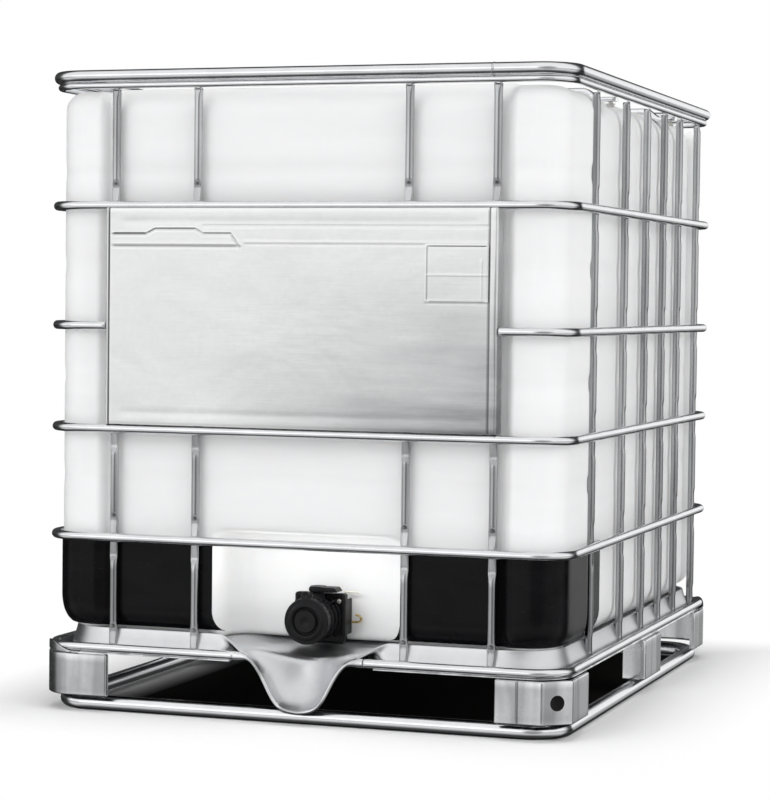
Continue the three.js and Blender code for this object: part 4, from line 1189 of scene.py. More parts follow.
# Flange round the tray, under the lowest hoop, with a turned-down edge.
flange_edge = np.array([HALF_X - 8.0, BACK - 8.0])
flange_corner = CAGE_CORNER - 3.0
rows = []
for point, out in zip(tray_outline, tray_outs):
    far = np.clip(point + out * (33.0, 31.0), -flange_edge, flange_edge)
    if np.all(np.abs(out) > 0.02):
        far = np.sign(out) * (flange_edge - flange_corner) + out * flange_corner
    line = [(*(point + (far - point) * s), FLANGE_Z - 1.0) for s in (0.12, 0.4, 0.8, 0.97)]
    d = (far - point) / np.linalg.norm(far - point)
    line.append((*(far - d * 0.4), FLANGE_Z - 1.5))
    line.append((*far, FLANGE_Z - 2.6))
    rows.append(line)
rows = np.array(rows)
# The flange stops each side of the trough, so it is made from its unbroken runs of rows.
kept_rows = [i for i, r in enumerate(rows) if not (r[0][1] < -WALL_Y + 5 and abs(r[0][0] - TROUGH_X) < 128)]
flange = Build()
runs, run = [], [kept_rows[0]]
for i in kept_rows[1:]:
    if i == run[-1] + 1:
        run.append(i)
    else:
        runs.append(run)
        run = [i]
runs.append(run)
if runs[0][0] == 0 and runs[-1][-1] == len(rows) - 1 and len(runs) > 1:
    runs = [runs[-1] + runs[0]] + runs[1:-1]
for run in runs:
    flange.grid(rows[run])
flange_piece = flange.make("tray_flange", 50)
modify(flange_piece, "SOLIDIFY", "thickness", thickness=1.8 * MM, offset=0.0, use_rim=True)
shade(flange_piece, 45)
piece(flange_piece, "root", SHEET)


# ---------------------------------------------------------------- feet
def bent_path(corners, radii, step=6.0):
    """Plan points and outward directions along a bent sheet. Each inner corner is rounded by its radius."""
    points = [np.array(c, float) for c in corners]
    path, outs = [], []

    def outward(a, b):
        d = (b - a) / np.linalg.norm(b - a)
        return np.array([d[1], -d[0]])

    starts = [points[0]]
    for i in range(1, len(points) - 1):
        a, b, c = points[i - 1], points[i], points[i + 1]
        u, v = (a - b) / np.linalg.norm(a - b), (c - b) / np.linalg.norm(c - b)
        angle = math.acos(np.clip(u @ v, -1, 1))
        back = radii[i - 1] / math.tan(angle / 2)
        starts.append((b + u * back, b + v * back))
    starts.append(points[-1])
    at = starts[0]
    for i in range(1, len(points)):
        target = starts[i] if i == len(points) - 1 else starts[i][0]
        count = max(1, int(np.linalg.norm(target - at) / step))
        out = outward(points[i - 1], points[i])
        for k in range(count + 1):
            path.append(at + (target - at) * k / count)
            outs.append(out)
        if i < len(points) - 1:
            nxt = outward(points[i], points[i + 1])
            a0, a1 = math.atan2(out[1], out[0]), math.atan2(nxt[1], nxt[0])
            turn = (a1 - a0 + math.pi) % (2 * math.pi) - math.pi
            bends = max(5, int(abs(turn) * radii[i - 1] / 5.0))
            sign = 1.0 if turn > 0 else -1.0
            centre = starts[i][0] - out * radii[i - 1] * sign
            for k in range(1, bends):
                t = a0 + turn * k / bends
                o = np.array([math.cos(t), math.sin(t)])
                path.append(centre + o * radii[i - 1] * sign)
                outs.append(o)
            at = starts[i][1]
    return np.array(path), np.array(outs)


def foot_section(low, high, lip, bend=3.2):
    """A foot's section as (inset, height): a turned-in lip, a bend, the upright face, a bend and a lip."""
    line = [(lip, low + 0.9)]
    for t in np.linspace(0, math.pi / 2, 5):
        line.append((bend - bend * math.sin(t), low + 0.9 + bend - bend * math.cos(t)))
    for s in np.linspace(0, 1, 7)[1:-1]:
        line.append((0.0, low + 0.9 + bend + (high - low - 1.8 - 2 * bend) * s))
    for t in np.linspace(math.pi / 2, 0, 5):
        line.append((bend - bend * math.sin(t), high - 0.9 - bend + bend * math.cos(t)))
    line.append((lip, high - 0.9))
    return line


def groove(path, outs, at, axis, width=2.6, depth=2.2):
    """Presses an upright groove into a sheet where it crosses a place on one axis."""
    away = np.abs(path[:, axis] - at)
    push = depth * (1 - smooth(away / width))
    return path - outs * push[:, None]


def refine(path, outs, at, axis, reach=8.0, step=1.1):
    """Adds close stations around a groove."""
    new_path, new_outs = [path[0]], [outs[0]]
    for a, b, oa, ob in zip(path, path[1:], outs, outs[1:]):
        from_a, from_b = a[axis] - at, b[axis] - at
        near = min(abs(from_a), abs(from_b)) < reach or from_a * from_b < 0
        count = max(1, int(np.linalg.norm(b - a) / step)) if near else 1
        for k in range(1, count + 1):
            new_path.append(a + (b - a) * k / count)
            o = oa + (ob - oa) * k / count
            new_outs.append(o / np.linalg.norm(o))
    return np.array(new_path), np.array(new_outs)


def sheet_foot(name, path, outs, low, high, lip=6.0):
    """A foot's bent sheet along a path, turned to face outwards and given its thickness."""
    section = foot_section(low, high, lip)
    rows = [[(*(p - o * inset), z) for inset, z in section] for p, o in zip(path, outs)]
    obj = Build().grid(np.array(rows)).make(name, 40)
    face = obj.data.polygons[len(obj.data.polygons) // 2]
    side = np.array(face.center)[:2] @ np.array(face.normal)[:2]
    if side < 0:
        obj.data.flip_normals()
    modify(obj, "SOLIDIFY", "thickness", thickness=2.0 * MM, offset=-1.0, use_rim=True)
    return shade(obj, 35)


def round_hole(obj, centre, direction, radius):
    """Cuts a round hole through a mesh."""
    bpy.context.view_layer.update()
    mesh = bpy.data.meshes.new("cutter")
    bm = bmesh.new()
    size = radius * MM
    bmesh.ops.create_cone(bm, cap_ends=True, segments=40, radius1=size, radius2=size, depth=16 * MM)
    turn = Vector(direction).to_track_quat("Z", "Y").to_matrix().to_4x4()
    turn.translation = Vector(centre) * MM
    bmesh.ops.transform(bm, matrix=turn, verts=bm.verts)
    bm.to_mesh(mesh)
    bm.free()
    cutter = link("cutter", mesh)
    modify(obj, "BOOLEAN", "hole", object=cutter, operation="DIFFERENCE", solver="EXACT")
    bpy.data.objects.remove(cutter)
    return shade(obj, 35)


def hole_shade_cup(name, centre, facing):
    """A black cup behind a foot's hole, standing in for the shade inside it, so the hole isn't seen through."""
    across = np.array([-facing[1], facing[0], 0.0])
    rings = [
        [centre - facing * back + across * radius * math.cos(t) + UP * radius * math.sin(t) for t in circle(36)]
        for radius, back in ((21.0, 5.0), (18.0, 6.0), (16.0, 9.0), (12.0, 14.0), (6.0, 16.0), (0.4, 16.4))
    ]
    cup = Build().grid(np.array(rings), wrap_columns=True).make(name, 50)
    modify(cup, "SOLIDIFY", "thickness", thickness=1.0 * MM, offset=0.0, use_rim=True)
    piece(shade(cup, 40), "root", RUBBER)


FRONT_GROOVE, SIDE_GROOVE = 411.0, 549.0
for end, sign_y in (("front", -1), ("rear", 1)):
    for side, sign_x in (("left", -1), ("right", 1)):
        name = f"{end}_{side}_foot"
        low, high = span(name)
        rounded = (sign_x * sign_y) > 0
        x0, y0 = (360.0 if rounded else 370.0), 450.0
        corners = [(x0, BACK - 11), (x0, BACK), (455.0, BACK), (HALF_X, 561.0), (HALF_X, y0), (HALF_X - 11, y0)]
        radii = [3.5, 9.0, 9.0, 3.5]
        if rounded:
            corners = [(x0, BACK - 11), (x0, BACK), (HALF_X, BACK), (HALF_X, y0), (HALF_X - 11, y0)]
            radii = [3.5, 72.0, 3.5]
        corners = [(sign_x * x, sign_y * y) for x, y in corners]
        if sign_x * sign_y > 0:
            corners = corners[::-1]
            radii = radii[::-1]
        path, outs = bent_path(corners, radii)
        if (path.mean(0) @ outs[len(outs) // 2]) < 0:
            outs = -outs
        path, outs = refine(path, outs, sign_x * FRONT_GROOVE, 0)
        path = groove(path, outs, sign_x * FRONT_GROOVE, 0, 2.4, 0.0 if rounded else 2.0)
        path, outs = refine(path, outs, sign_y * SIDE_GROOVE, 1)
        path = groove(path, outs, sign_y * SIDE_GROOVE, 1, 2.2, 0.0 if rounded else 1.3)
        foot = sheet_foot(f"{name}_sheet", path, outs, low[2], high[2])
        if not rounded:
            centre = np.array([sign_x * 477.5, sign_y * 580.5, (low[2] + high[2]) / 2 + 0.5])
            facing = np.array([sign_x * 39.0, sign_y * 45.0, 0.0])
            round_hole(foot, centre, facing, 13.6)
            # A black cup stands in for the shade behind the hole.
            hole_shade_cup(f"{name}_hole_shade_cup", centre, facing / np.linalg.norm(facing))
        piece(foot, "root", SHEET, [name])
        # A lap strip welded over the end of the foot.
        bottom = low[2] + 2.6
        top = (low[2] + high[2]) / 2 + 4 if rounded else high[2] - 2.6
        face_y = sign_y * (BACK - 0.45)
        far_x = x0 + (36.0 if rounded else 38.0)
        across = (
            (x0 + 2.0, 1.6), (x0 + 3.0, 0.35), (x0 + 4.6, 0.0),
            (far_x - 2.8, 0.0), (far_x - 1.2, 0.35), (far_x, 1.6),
        )
        upward = (
            (bottom, 1.6), (bottom + 0.8, 0.4), (bottom + 2.6, 0.0),
            (top - 2.4, 0.0), (top - 0.8, 0.4), (top, 1.6),
        )
        rows = [
            [(sign_x * x, face_y - sign_y * max(drop, fall), z) for z, fall in upward] for x, drop in across
        ]
        lap = Build().grid(np.array(rows)).make(f"{name}_lap", 50)
        modify(lap, "SOLIDIFY", "thickness", thickness=0.9 * MM, offset=0.0, use_rim=True)
        piece(shade(lap, 45), "root", SHEET)

# Where the corner is round the tray's corner plate turns up outside the lowest hoop.
for sign_x, sign_y in ((-1, -1), (1, 1)):
    low, high = span("front_left_foot")
    corners = [(sign_x * x, sign_y * y) for x, y in ((415.0, BACK), (HALF_X, BACK), (HALF_X, 500.0))]
    path, outs = bent_path(corners[::-1], [72.0])
    if (path.mean(0) @ outs[len(outs) // 2]) < 0:
        outs = -outs
    rows = []
    for share, p, o in zip(np.linspace(0, 1, len(path)), path, outs):
        top = high[2] + 2.0 + 17.0 * smooth(1 - abs(2 * share - 1) * 1.12)
        rows.append([(p[0] - o[0] * back, p[1] - o[1] * back, z) for back, z in
                     ((11.0, high[2] + 1.6), (5.0, high[2] + 1.6), (1.6, high[2] + 1.8), (0.9, high[2] + 2.4),
                      (0.8, (high[2] + top) / 2), (0.9, top), (1.6, top + 0.5))])
    plate_corner = Build().grid(np.array(rows)).make(f"corner_plate_{'left' if sign_x < 0 else 'right'}", 50)
    modify(plate_corner, "SOLIDIFY", "thickness", thickness=1.4 * MM, offset=0.0, use_rim=True)
    piece(shade(plate_corner, 40), "root", SHEET)

for name in ("left_middle_foot", "right_middle_foot", "rear_middle_foot"):
    low, high = span(name)
    if name.startswith("rear"):
        corners = [(low[0], low[1] + 1), (low[0], high[1]), (high[0], high[1]), (high[0], low[1] + 1)]
    elif name.startswith("left"):
        corners = [(high[0] - 1, low[1]), (low[0], low[1]), (low[0], high[1]), (high[0] - 1, high[1])]
    else:
        corners = [(low[0] + 1, high[1]), (high[0], high[1]), (high[0], low[1]), (low[0] + 1, low[1])]
    path, outs = bent_path(corners, [6.0, 6.0])
    middle_point = (np.array(corners[1]) + np.array(corners[2])) / 2
    if middle_point @ outs[len(outs) // 2] < 0:
        outs = -outs
    foot = sheet_foot(f"{name}_sheet", path, outs, low[2], high[2], 5.5)
    piece(foot, "root", SHEET, [name])


# ---------------------------------------------------------------- outlet valve
cap_low, cap_high = span("outlet_cap")
lever_low, lever_high = span("valve_lever")
STEM_Y = middle("valve_stem")[1]
CAP_FRONT, CAP_BACK = cap_low[1], cap_high[1]
BARREL_FRONT, BARREL_BACK = span("valve_body")[0][1], span("outlet_seal")[0][1] - 0.3
AXIS = (VALVE_X, VALVE_Z)
STEM_PLACE, STEM_HOLE = (VALVE_X, STEM_Y), 5.4
PLATE_HALF, PLATE_UP, PLATE_DOWN = 48.0, 44.0, 50.0
PLATE_FRONT, PLATE_BACK = -486.0, -470.0
# The barrel's raised rings, as (front, back, radius).
BARREL_RINGS = ((-538.5, -533.0, 34.2), (-529.0, -523.5, 34.2), (-500.0, -484.0, 38.0), (-512.0, -507.0, 35.2))


def face_plan(x, z):
    """Distance to the valve's squarish plate, whose lower corners are rounder."""
    corner = np.where(z < VALVE_Z, 14.0, 5.0)
    up = z - VALVE_Z - (PLATE_UP - PLATE_DOWN) / 2
    return field_plan(x - VALVE_X, up, PLATE_HALF, (PLATE_UP + PLATE_DOWN) / 2, corner)


def valve_field(p):
    x, y, z = p
    flat = face_plan(x, z)
    plate = field_block(flat, y, PLATE_FRONT, PLATE_BACK, 2.0)
    border = field_block(np.abs(flat + 4.5) - 2.0, y, -487.6, -480.0, 0.9)
    housing = fmin(plate, border, 1.2)
    left, right = VALVE_X - PLATE_HALF, VALVE_X + PLATE_HALF
    cheek = field_box(p, (right - 2.2, -467.0, VALVE_Z + 1.0), (2.2, 20.0, 32.0), 1.8)
    housing = fmin(housing, cheek, 2.5)
    rib = field_box(p, (right - 0.9, -467.0, VALVE_Z + 7.0), (1.0, 16.0, 24.0), 0.8)
    housing = fmin(housing, rib, 0.6)
    left_cheek = field_box(p, (left + 2.2, -468.0, VALVE_Z + 1.0), (2.2, 18.0, 28.0), 1.8)
    housing = fmin(housing, left_cheek, 2.5)
    barrel = field_rod(p, 1, AXIS, 33.0, BARREL_FRONT, BARREL_BACK, 1.4)
    for low, high, radius in BARREL_RINGS:
        barrel = fmin(barrel, field_rod(p, 1, AXIS, radius, low, high, 1.2), 1.0)
    barrel = fmin(barrel, field_rod(p, 1, AXIS, 37.5, -478.0, BARREL_BACK, 1.2), 2.0)
    housing = fmin(housing, barrel, 3.0)
    for turn in range(4):
        t = math.pi / 4 + math.pi / 2 * turn
        u = (x - VALVE_X) * math.cos(t) + (z - VALVE_Z) * math.sin(t)
        v = -(x - VALVE_X) * math.sin(t) + (z - VALVE_Z) * math.cos(t)
        web = field_box((u, y, v), (38.0, -496.0, 0.0), (9.0, 12.0, 1.8), 0.9)
        housing = fmin(housing, web, 2.0)
    pedestal = field_box(p, (VALVE_X + 3.0, STEM_Y, VALVE_Z + 30.0), (11.0, 13.0, 8.0), 2.5)
    boss = field_rod(p, 2, STEM_PLACE, 12.0, VALVE_Z, 226.0, 1.2)
    housing = fmin(fmin(housing, pedestal, 3.0), boss, 3.0)
    bore = field_rod(p, 1, AXIS, 25.5, BARREL_FRONT - 9, BARREL_BACK + 9, 1.0)
    seat = field_rod(p, 1, AXIS, 29.3, STEM_Y - 9, STEM_Y + 9, 0.5)
    stem = field_rod(p, 2, STEM_PLACE, STEM_HOLE, VALVE_Z - 31.0, 232.0, 0.5)
    housing = fmax(housing, -bore, 0.8)
    housing = fmax(housing, -seat, 0.0)
    return fmax(housing, -stem, 0.5)


valve_start = (VALVE_X - 49, BARREL_FRONT - 1, VALVE_Z - 45)
valve_end = (VALVE_X + 49, BARREL_BACK + 10, 228)
valve = moulded("valve_housing", valve_field, valve_start, valve_end, 1.55, 50)
piece(valve, "root", VALVE, ["valve_body"])


def lever_field(p):
    x, _, z = p
    top = lever_high[2] - 1.5
    slab = field_box(p, (VALVE_X + 17.5, STEM_Y, top - 4.0), (30.5, 15.6, 4.0), 2.4)
    slope = (z - top) * 0.60 + (x - (VALVE_X + 36.0)) * 0.80
    slab = fmax(slab, slope, 2.0)
    skirt = field_box(p, (VALVE_X + 14.0, STEM_Y - 13.6, top - 4.6), (20.0, 2.0, 4.2), 1.6)
    hub = field_rod(p, 2, STEM_PLACE, 15.0, lever_low[2], lever_high[2] - 0.4, 1.6)
    solid = fmin(fmin(slab, skirt, 2.0), hub, 2.5)
    for k in range(4):
        notch = field_box(p, (VALVE_X + 24.0 + 6.5 * k, STEM_Y, top + 0.6), (1.3, 11.0, 1.6), 1.0)
        solid = fmax(solid, -notch, 0.8)
    socket = field_rod(p, 2, STEM_PLACE, STEM_HOLE, lever_low[2] - 5, lever_high[2] - 2.6, 0.5)
    slot = field_box(p, (VALVE_X, STEM_Y, lever_high[2]), (7.0, 1.0, 1.3), 0.5)
    return fmax(fmax(solid, -socket, 0.3), -slot, 0.3)


lever_start = (VALVE_X - 16, STEM_Y - 17, lever_low[2])
lever_end = (VALVE_X + 58, STEM_Y + 17, lever_high[2])
lever = moulded("lever_handle", lever_field, lever_start, lever_end, 1.1, 50)
piece(lever, "lever", VALVE, ["valve_lever"])


GRIP_RIBS, LUG_X = 30, VALVE_X - 2.0


def cap_field(p):
    x, y, z = p
    radius = np.sqrt((x - VALVE_X) ** 2 + (z - VALVE_Z) ** 2)
    turn = np.arctan2(z - VALVE_Z, x - VALVE_X)
    rim = field_rod(p, 1, AXIS, 41.5, CAP_FRONT + 5.0, CAP_BACK, 2.6)
    grip = 0.55 * np.clip(np.cos(turn * GRIP_RIBS), -0.2, 1.0)
    rim = rim + grip * smooth((y - (CAP_FRONT + 7.5)) / 2.0) * smooth((radius - 39.0) / 1.5)
    step = field_rod(p, 1, AXIS, 34.0, CAP_FRONT + 2.8, CAP_BACK, 2.2)
    ring = np.sqrt((radius - 28.5) ** 2 + (y - (CAP_FRONT + 4.2)) ** 2) - 4.0
    disc = field_rod(p, 1, AXIS, 20.0, CAP_FRONT, CAP_BACK, 1.8)
    solid = fmin(fmin(fmin(rim, step, 1.5), ring, 1.6), disc, 0.6)
    moat = np.maximum(np.abs(radius - 22.2) - 1.6, y - (CAP_FRONT + 6.0))
    solid = fmax(solid, -moat, 1.0)
    dimple = np.sqrt((x - VALVE_X) ** 2 + (z - VALVE_Z) ** 2 + (y - (CAP_FRONT - 17.0)) ** 2) - 19.0
    solid = fmax(solid, -dimple, 1.0)
    lug = field_rod(p, 1, (LUG_X, VALVE_Z + 45.6), 8.2, CAP_FRONT + 6.5, CAP_FRONT + 13.0, 2.0)
    neck = field_box(p, (LUG_X, CAP_FRONT + 9.8, VALVE_Z + 39.0), (7.6, 3.2, 6.0), 2.0)
    solid = fmin(solid, fmin(lug, neck, 2.0), 2.0)
    eye = field_rod(p, 1, (LUG_X, VALVE_Z + 46.6), 2.0, CAP_FRONT - 5, CAP_FRONT + 20.0, 0.5)
    solid = fmax(solid, -eye, 0.6)
    bore = field_rod(p, 1, AXIS, 33.6, CAP_FRONT + 12.6, CAP_BACK + 20.0, 0.8)
    return fmax(solid, -bore, 0.5)


cap_start, cap_end = (VALVE_X - 42, CAP_FRONT, VALVE_Z - 42), (VALVE_X + 42, CAP_BACK, VALVE_Z + 55)
cap = moulded("cap_cup", cap_field, cap_start, cap_end, 1.0, 50)
piece(cap, "cap", VALVE, ["outlet_cap"])


def turned(build, profile, centre, axis, segments=96, wave=None):
    """A ring of revolution from a closed profile of (radius, place along axis 1 or 2).
    wave(angle, radius, place) is added to each radius."""
    rows = []
    for i in range(segments):
        t = 2 * math.pi * i / segments
        row = []
        for r, a in profile:
            reach = r + (wave(t, r, a) if wave else 0.0)
            u, v = centre[0] + reach * math.cos(t), centre[1] + reach * math.sin(t)
            row.append((u, a, v) if axis == 1 else (u, v, a))
        rows.append(row)
    build.grid(np.array(rows), wrap_rows=True, wrap_columns=True)


def nut_wave(t, r, _):
    """Grooves between the union nut's ribs, on its outer rings only."""
    return -1.7 * (0.5 - 0.5 * math.cos(24 * t)) ** 0.6 if r >= 41.0 else 0.0


def mirrored(half, low, high):
    """A profile of (radius, depth) pairs run in from the low end and back out to the high end."""
    middle_point = (half[-1][0], (low + high) / 2)
    return [(r, low + d) for r, d in half] + [middle_point] + [(r, high - d) for r, d in half[::-1]]


nut_low, nut_high = span("outlet_nut")
nut = Build()
NUT_HALF = ((38.5, 1.0), (39.2, 0.0), (42.4, 0.0), (43.8, 1.6), (44.4, 4.0))
turned(nut, mirrored(NUT_HALF, nut_low[1], nut_high[1]), AXIS, 1, 240, nut_wave)
piece(nut.make("union_nut", 50), "root", VALVE, ["outlet_nut"])


def wire(build, points, radius, sides=18, flat=1.0):
    """Adds a smooth wire through points, with rounded ends."""
    points = np.array(points, float)
    dense = []
    for i in range(len(points) - 1):
        p0, p1, p2, p3 = points[max(i - 1, 0)], points[i], points[i + 1], points[min(i + 2, len(points) - 1)]
        squared, cubed = 2 * p0 - 5 * p1 + 4 * p2 - p3, 3 * p1 - p0 - 3 * p2 + p3
        for t in np.linspace(0, 1, 8, endpoint=False):
            dense.append(0.5 * (2 * p1 + (p2 - p0) * t + squared * t**2 + cubed * t**3))
    dense.append(points[-1])
    dense = np.array(dense)
    tangent = np.gradient(dense, axis=0)
    tangent /= np.linalg.norm(tangent, axis=1)[:, None]
    normal = np.cross(tangent[0], [0.0, 1.0, 0.03])
    normal /= np.linalg.norm(normal)
    rows = []
    for k, (p, d) in enumerate(zip(dense, tangent)):
        normal = normal - d * (normal @ d)
        normal /= np.linalg.norm(normal)
        other = np.cross(d, normal)
        end = min(k, len(dense) - 1 - k)
        size = radius * (0.55, 0.85, 1.0)[min(end, 2)]
        rows.append([p + size * (math.cos(t) * normal + flat * math.sin(t) * other) for t in circle(sides)])
    build.grid(np.array(rows), wrap_columns=True, caps=True)


clip_low, clip_high = span("seal_clip")
CLIP_AT = np.array([clip_low[0], (clip_low[1] + clip_high[1]) / 2, clip_low[2] + 2.2])
CLIP_HOOK = (
    (0.3, 0, 0), (8, 0, 0), (15, 0, 0.6), (19.4, 0, 4.5), (18, 0, 9.5), (12, -0.5, 12.6), (8, -0.8, 13.6),
)
clip = Build()
wire(clip, CLIP_AT + CLIP_HOOK, 2.1)
wire(clip, CLIP_AT + ((3, -1.5, -2.4), (3, -1.5, 0), (3, -1.5, 2.6)), 1.3)
piece(clip.make("clip_wire", 60), "root", BRASS, ["seal_clip"])

strap = Build()
STRAP_LINE = ((34, 224.4), (44, 224.9), (56, 225.2), (65, 224.6))
wire(strap, [(VALVE_X + x, -453.0, z) for x, z in STRAP_LINE], 2.1, 14, 0.6)
piece(strap.make("seal_strap", 60), "root", NATURAL)

screw = Build()
SCREW_AXIS, SCREW_Y = (VALVE_X + 36.5, VALVE_Z + 30.5), PLATE_FRONT
SCREW_HEAD = ((1.6, -1.0), (2.4, -2.9), (3.6, -2.7), (4.6, -1.6), (4.7, 0.4), (1.6, 0.4))
SCREW_CORE = ((0.02, -0.9), (1.65, -0.9), (1.65, 0.3), (0.02, 0.3))
for profile, segments in ((SCREW_HEAD, 48), (SCREW_CORE, 24)):
    turned(screw, [(r, SCREW_Y + depth) for r, depth in profile], SCREW_AXIS, 1, segments)
piece(screw.make("face_screw", 40), "root", BOLT)

PLAIN_NODES = {
    "valve_seat": RUBBER, "valve_disc": NATURAL, "valve_stem": NATURAL, "outlet_seal": RUBBER,
    "cap_gasket": RUBBER, "lid_gasket": RUBBER, "vent_gasket": RUBBER,
}
for node, material in PLAIN_NODES.items():
    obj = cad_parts[node]
    obj.data.materials.clear()
    obj.data.materials.append(material)


# ---------------------------------------------------------------- fill lid and vent
lid_low, lid_high = span("fill_lid")
vent_low, vent_high = span("vent_plug")
VENT_X = (vent_low[0] + vent_high[0]) / 2
LID_R, LID_TOP, LID_BASE = lid_high[0], lid_high[2], lid_low[2]
LID_RIBS = 60


def lid_field(p):
    x, y, z = p
    radius = np.sqrt(x**2 + y**2)
    turn = np.arctan2(y, x)
    knurl = 1.3 * np.clip(0.5 - 0.5 * np.cos(turn * LID_RIBS), 0, 1) ** 1.5 * smooth((LID_TOP - 3.0 - z) / 3.0)
    shell = field_rod(p, 2, (0, 0), LID_R, LID_BASE, LID_TOP - 1.6, 2.2) + knurl * smooth((radius - 86.0) / 3.0)
    rise = field_rod(p, 2, (0, 0), 76.0, LID_BASE, LID_TOP - 0.6, 1.4)
    well = field_rod(p, 2, (0, 0), 66.0, LID_TOP - 2.6, LID_TOP + 20.0, 1.0)
    solid = fmax(fmin(shell, rise, 1.0), -well, 1.0)
    spokes = np.abs(np.sin(turn * 4)) * radius / 4.0 - 2.6
    spoke = np.maximum(np.maximum(spokes, radius - 70.0), np.maximum(z - (LID_TOP - 0.5), LID_TOP - 5.0 - z))
    solid = fmin(solid, spoke, 1.0)
    plinth = field_rod(p, 2, (VENT_X, 0), 29.0, LID_TOP - 5.0, LID_TOP, 1.0)
    solid = fmin(solid, plinth, 1.5)
    vent = field_rod(p, 2, (VENT_X, 0), 18.0, LID_BASE - 30, LID_TOP + 20, 0.5)
    solid = fmax(solid, -vent, 0.6)
    cavity = field_rod(p, 2, (0, 0), 81.0, LID_BASE - 30.0, 1147.3, 0.8)
    return fmax(solid, -cavity, 0.6)


lid = moulded("lid_cap", lid_field, (-LID_R, -LID_R, LID_BASE), (LID_R, LID_R, LID_TOP), 1.5, 50)
piece(lid, "lid", LID, ["fill_lid"])


def vent_wave(t, r, a):
    """Finger scallops round the vent plug's head."""
    return -1.2 * (0.5 - 0.5 * math.cos(20 * t)) if r > 24.0 and a < vent_high[2] - 0.8 else 0.0


vent = Build()
head, base, crown = span("vent_gasket")[1][2] + 0.3, vent_low[2], vent_high[2]
VENT_PROFILE = (
    (0.05, base), (15.0, base), (17.4, base + 1.2), (17.4, head), (24.3, head), (25.0, head + 0.8),
    (25.0, crown - 2.0), (23.6, crown - 0.6), (20.0, crown), (12.0, crown), (10.5, crown - 1.6),
    (0.05, crown - 1.6),
)
turned(vent, VENT_PROFILE, (VENT_X, 0), 2, 160, vent_wave)
piece(vent.make("vent_cap", 40), "vent", LID, ["vent_plug"])


# ---------------------------------------------------------------- hold-down bars and their bolts
BAR_END, BAR_RISE_LENGTH = 454.0, 30.0
BAR_HALF_WIDTH, BAR_HALF_THICKNESS = 12.9, 5.7
BAR_HOLE_X, BAR_HOLE_RADIUS = 474.0, 4.3


def bar_rows(y, low, high):
    """A flattened tube across the top that drops to its bolted, thinner ends."""
    end_z, mid_z = low[2] + 6.0, high[2] - 6.0
    outer, bent = np.linspace(BAR_END, high[0], 8), np.linspace(425, 451, 14)
    xs = np.concatenate([-outer[::-1], -bent[::-1], np.linspace(-418, 418, 60), bent, outer])
    rows = []
    for x in xs:
        share = (BAR_END - abs(x)) / BAR_RISE_LENGTH
        z = end_z + (mid_z - end_z) * smooth(share)
        slope = 0.0
        if 0 < share < 1:
            slope = 6 * share * (1 - share) * (mid_z - end_z) / BAR_RISE_LENGTH * (-1 if x > 0 else 1)
        end = smooth((abs(x) - 452.0) / 8.0)
        half_t = BAR_HALF_THICKNESS - 1.6 * end
        corner = 4.6 - 1.5 * end
        shrink = 0.93 if abs(abs(x) - high[0]) < 0.01 else 1.0
        tilt = math.hypot(1, slope)
        ring = []
        for sign_u, sign_v, start in ((1, 1, 0), (-1, 1, 90), (-1, -1, 180), (1, -1, 270)):
            for k in range(6):
                a = math.radians(start + 90 * k / 5)
                u = shrink * (sign_u * (BAR_HALF_WIDTH - corner) + corner * math.cos(a))
                v = shrink * (sign_v * (half_t - corner) + corner * math.sin(a))
                ring.append((x - v * slope / tilt, y + u, z + 1.6 * end + v / tilt))
        rows.append(ring)
    return np.array(rows)


def hexagon(t, r, _):
    """Turns a bolt head's outer rings into six flats."""
    flat = abs(((t + math.pi / 6) % (math.pi / 3)) - math.pi / 6)
    return (6.5 / math.cos(flat) - 7.4) if r > 7.0 else 0.0


def bolt(name):
    """A hexagon bolt with its washer, from its CAD node's box."""
    low, high = span(name)
    head, tip = low[2], high[2]
    centre = ((low[0] + high[0]) / 2, (low[1] + high[1]) / 2)
    shaft = (
        (0.05, head), (5.6, head), (6.4, head + 0.4), (7.4, head + 1.3), (7.4, head + 5.0), (3.9, head + 5.1),
        (3.9, tip - 0.6), (3.3, tip), (0.05, tip),
    )
    washer = ((4.1, head + 5.2), (9.0, head + 5.2), (9.3, head + 5.6), (9.0, head + 6.1), (4.1, head + 6.1))
    build = Build()
    turned(build, shaft, centre, 2, 72, hexagon)
    turned(build, washer, centre, 2, 48)
    piece(build.make(f"{name}_zinc", 35), "root", BOLT, [name])


for end in ("front", "rear"):
    low, high = span(f"{end}_cross_bar")
    y = (low[1] + high[1]) / 2
    bar = Build().grid(bar_rows(y, low, high), wrap_columns=True, caps=True).make(f"{end}_bar_tube", 50)
    for x in (-BAR_HOLE_X, BAR_HOLE_X):
        round_hole(bar, (x, y, low[2] + 6.0), (0, 0, 1), BAR_HOLE_RADIUS)
    piece(bar, "root", TUBE, [f"{end}_cross_bar"])
    for side in ("left", "right"):
        bolt(f"{end}_bar_bolt_{side}")


# ---------------------------------------------------------------- floor, backdrop, light, camera
def stage_disc(name, radius, z, material, sides=96):
    """A round floor in metres."""
    verts = [(0, 0, z)] + [(radius * math.cos(t), radius * math.sin(t), z) for t in circle(sides)]
    mesh = bpy.data.meshes.new(name)
    mesh.from_pydata(verts, [], [(0, i + 1, (i + 1) % sides + 1) for i in range(sides)])
    obj = link(name, mesh)
    obj.data.materials.append(material)
    return obj


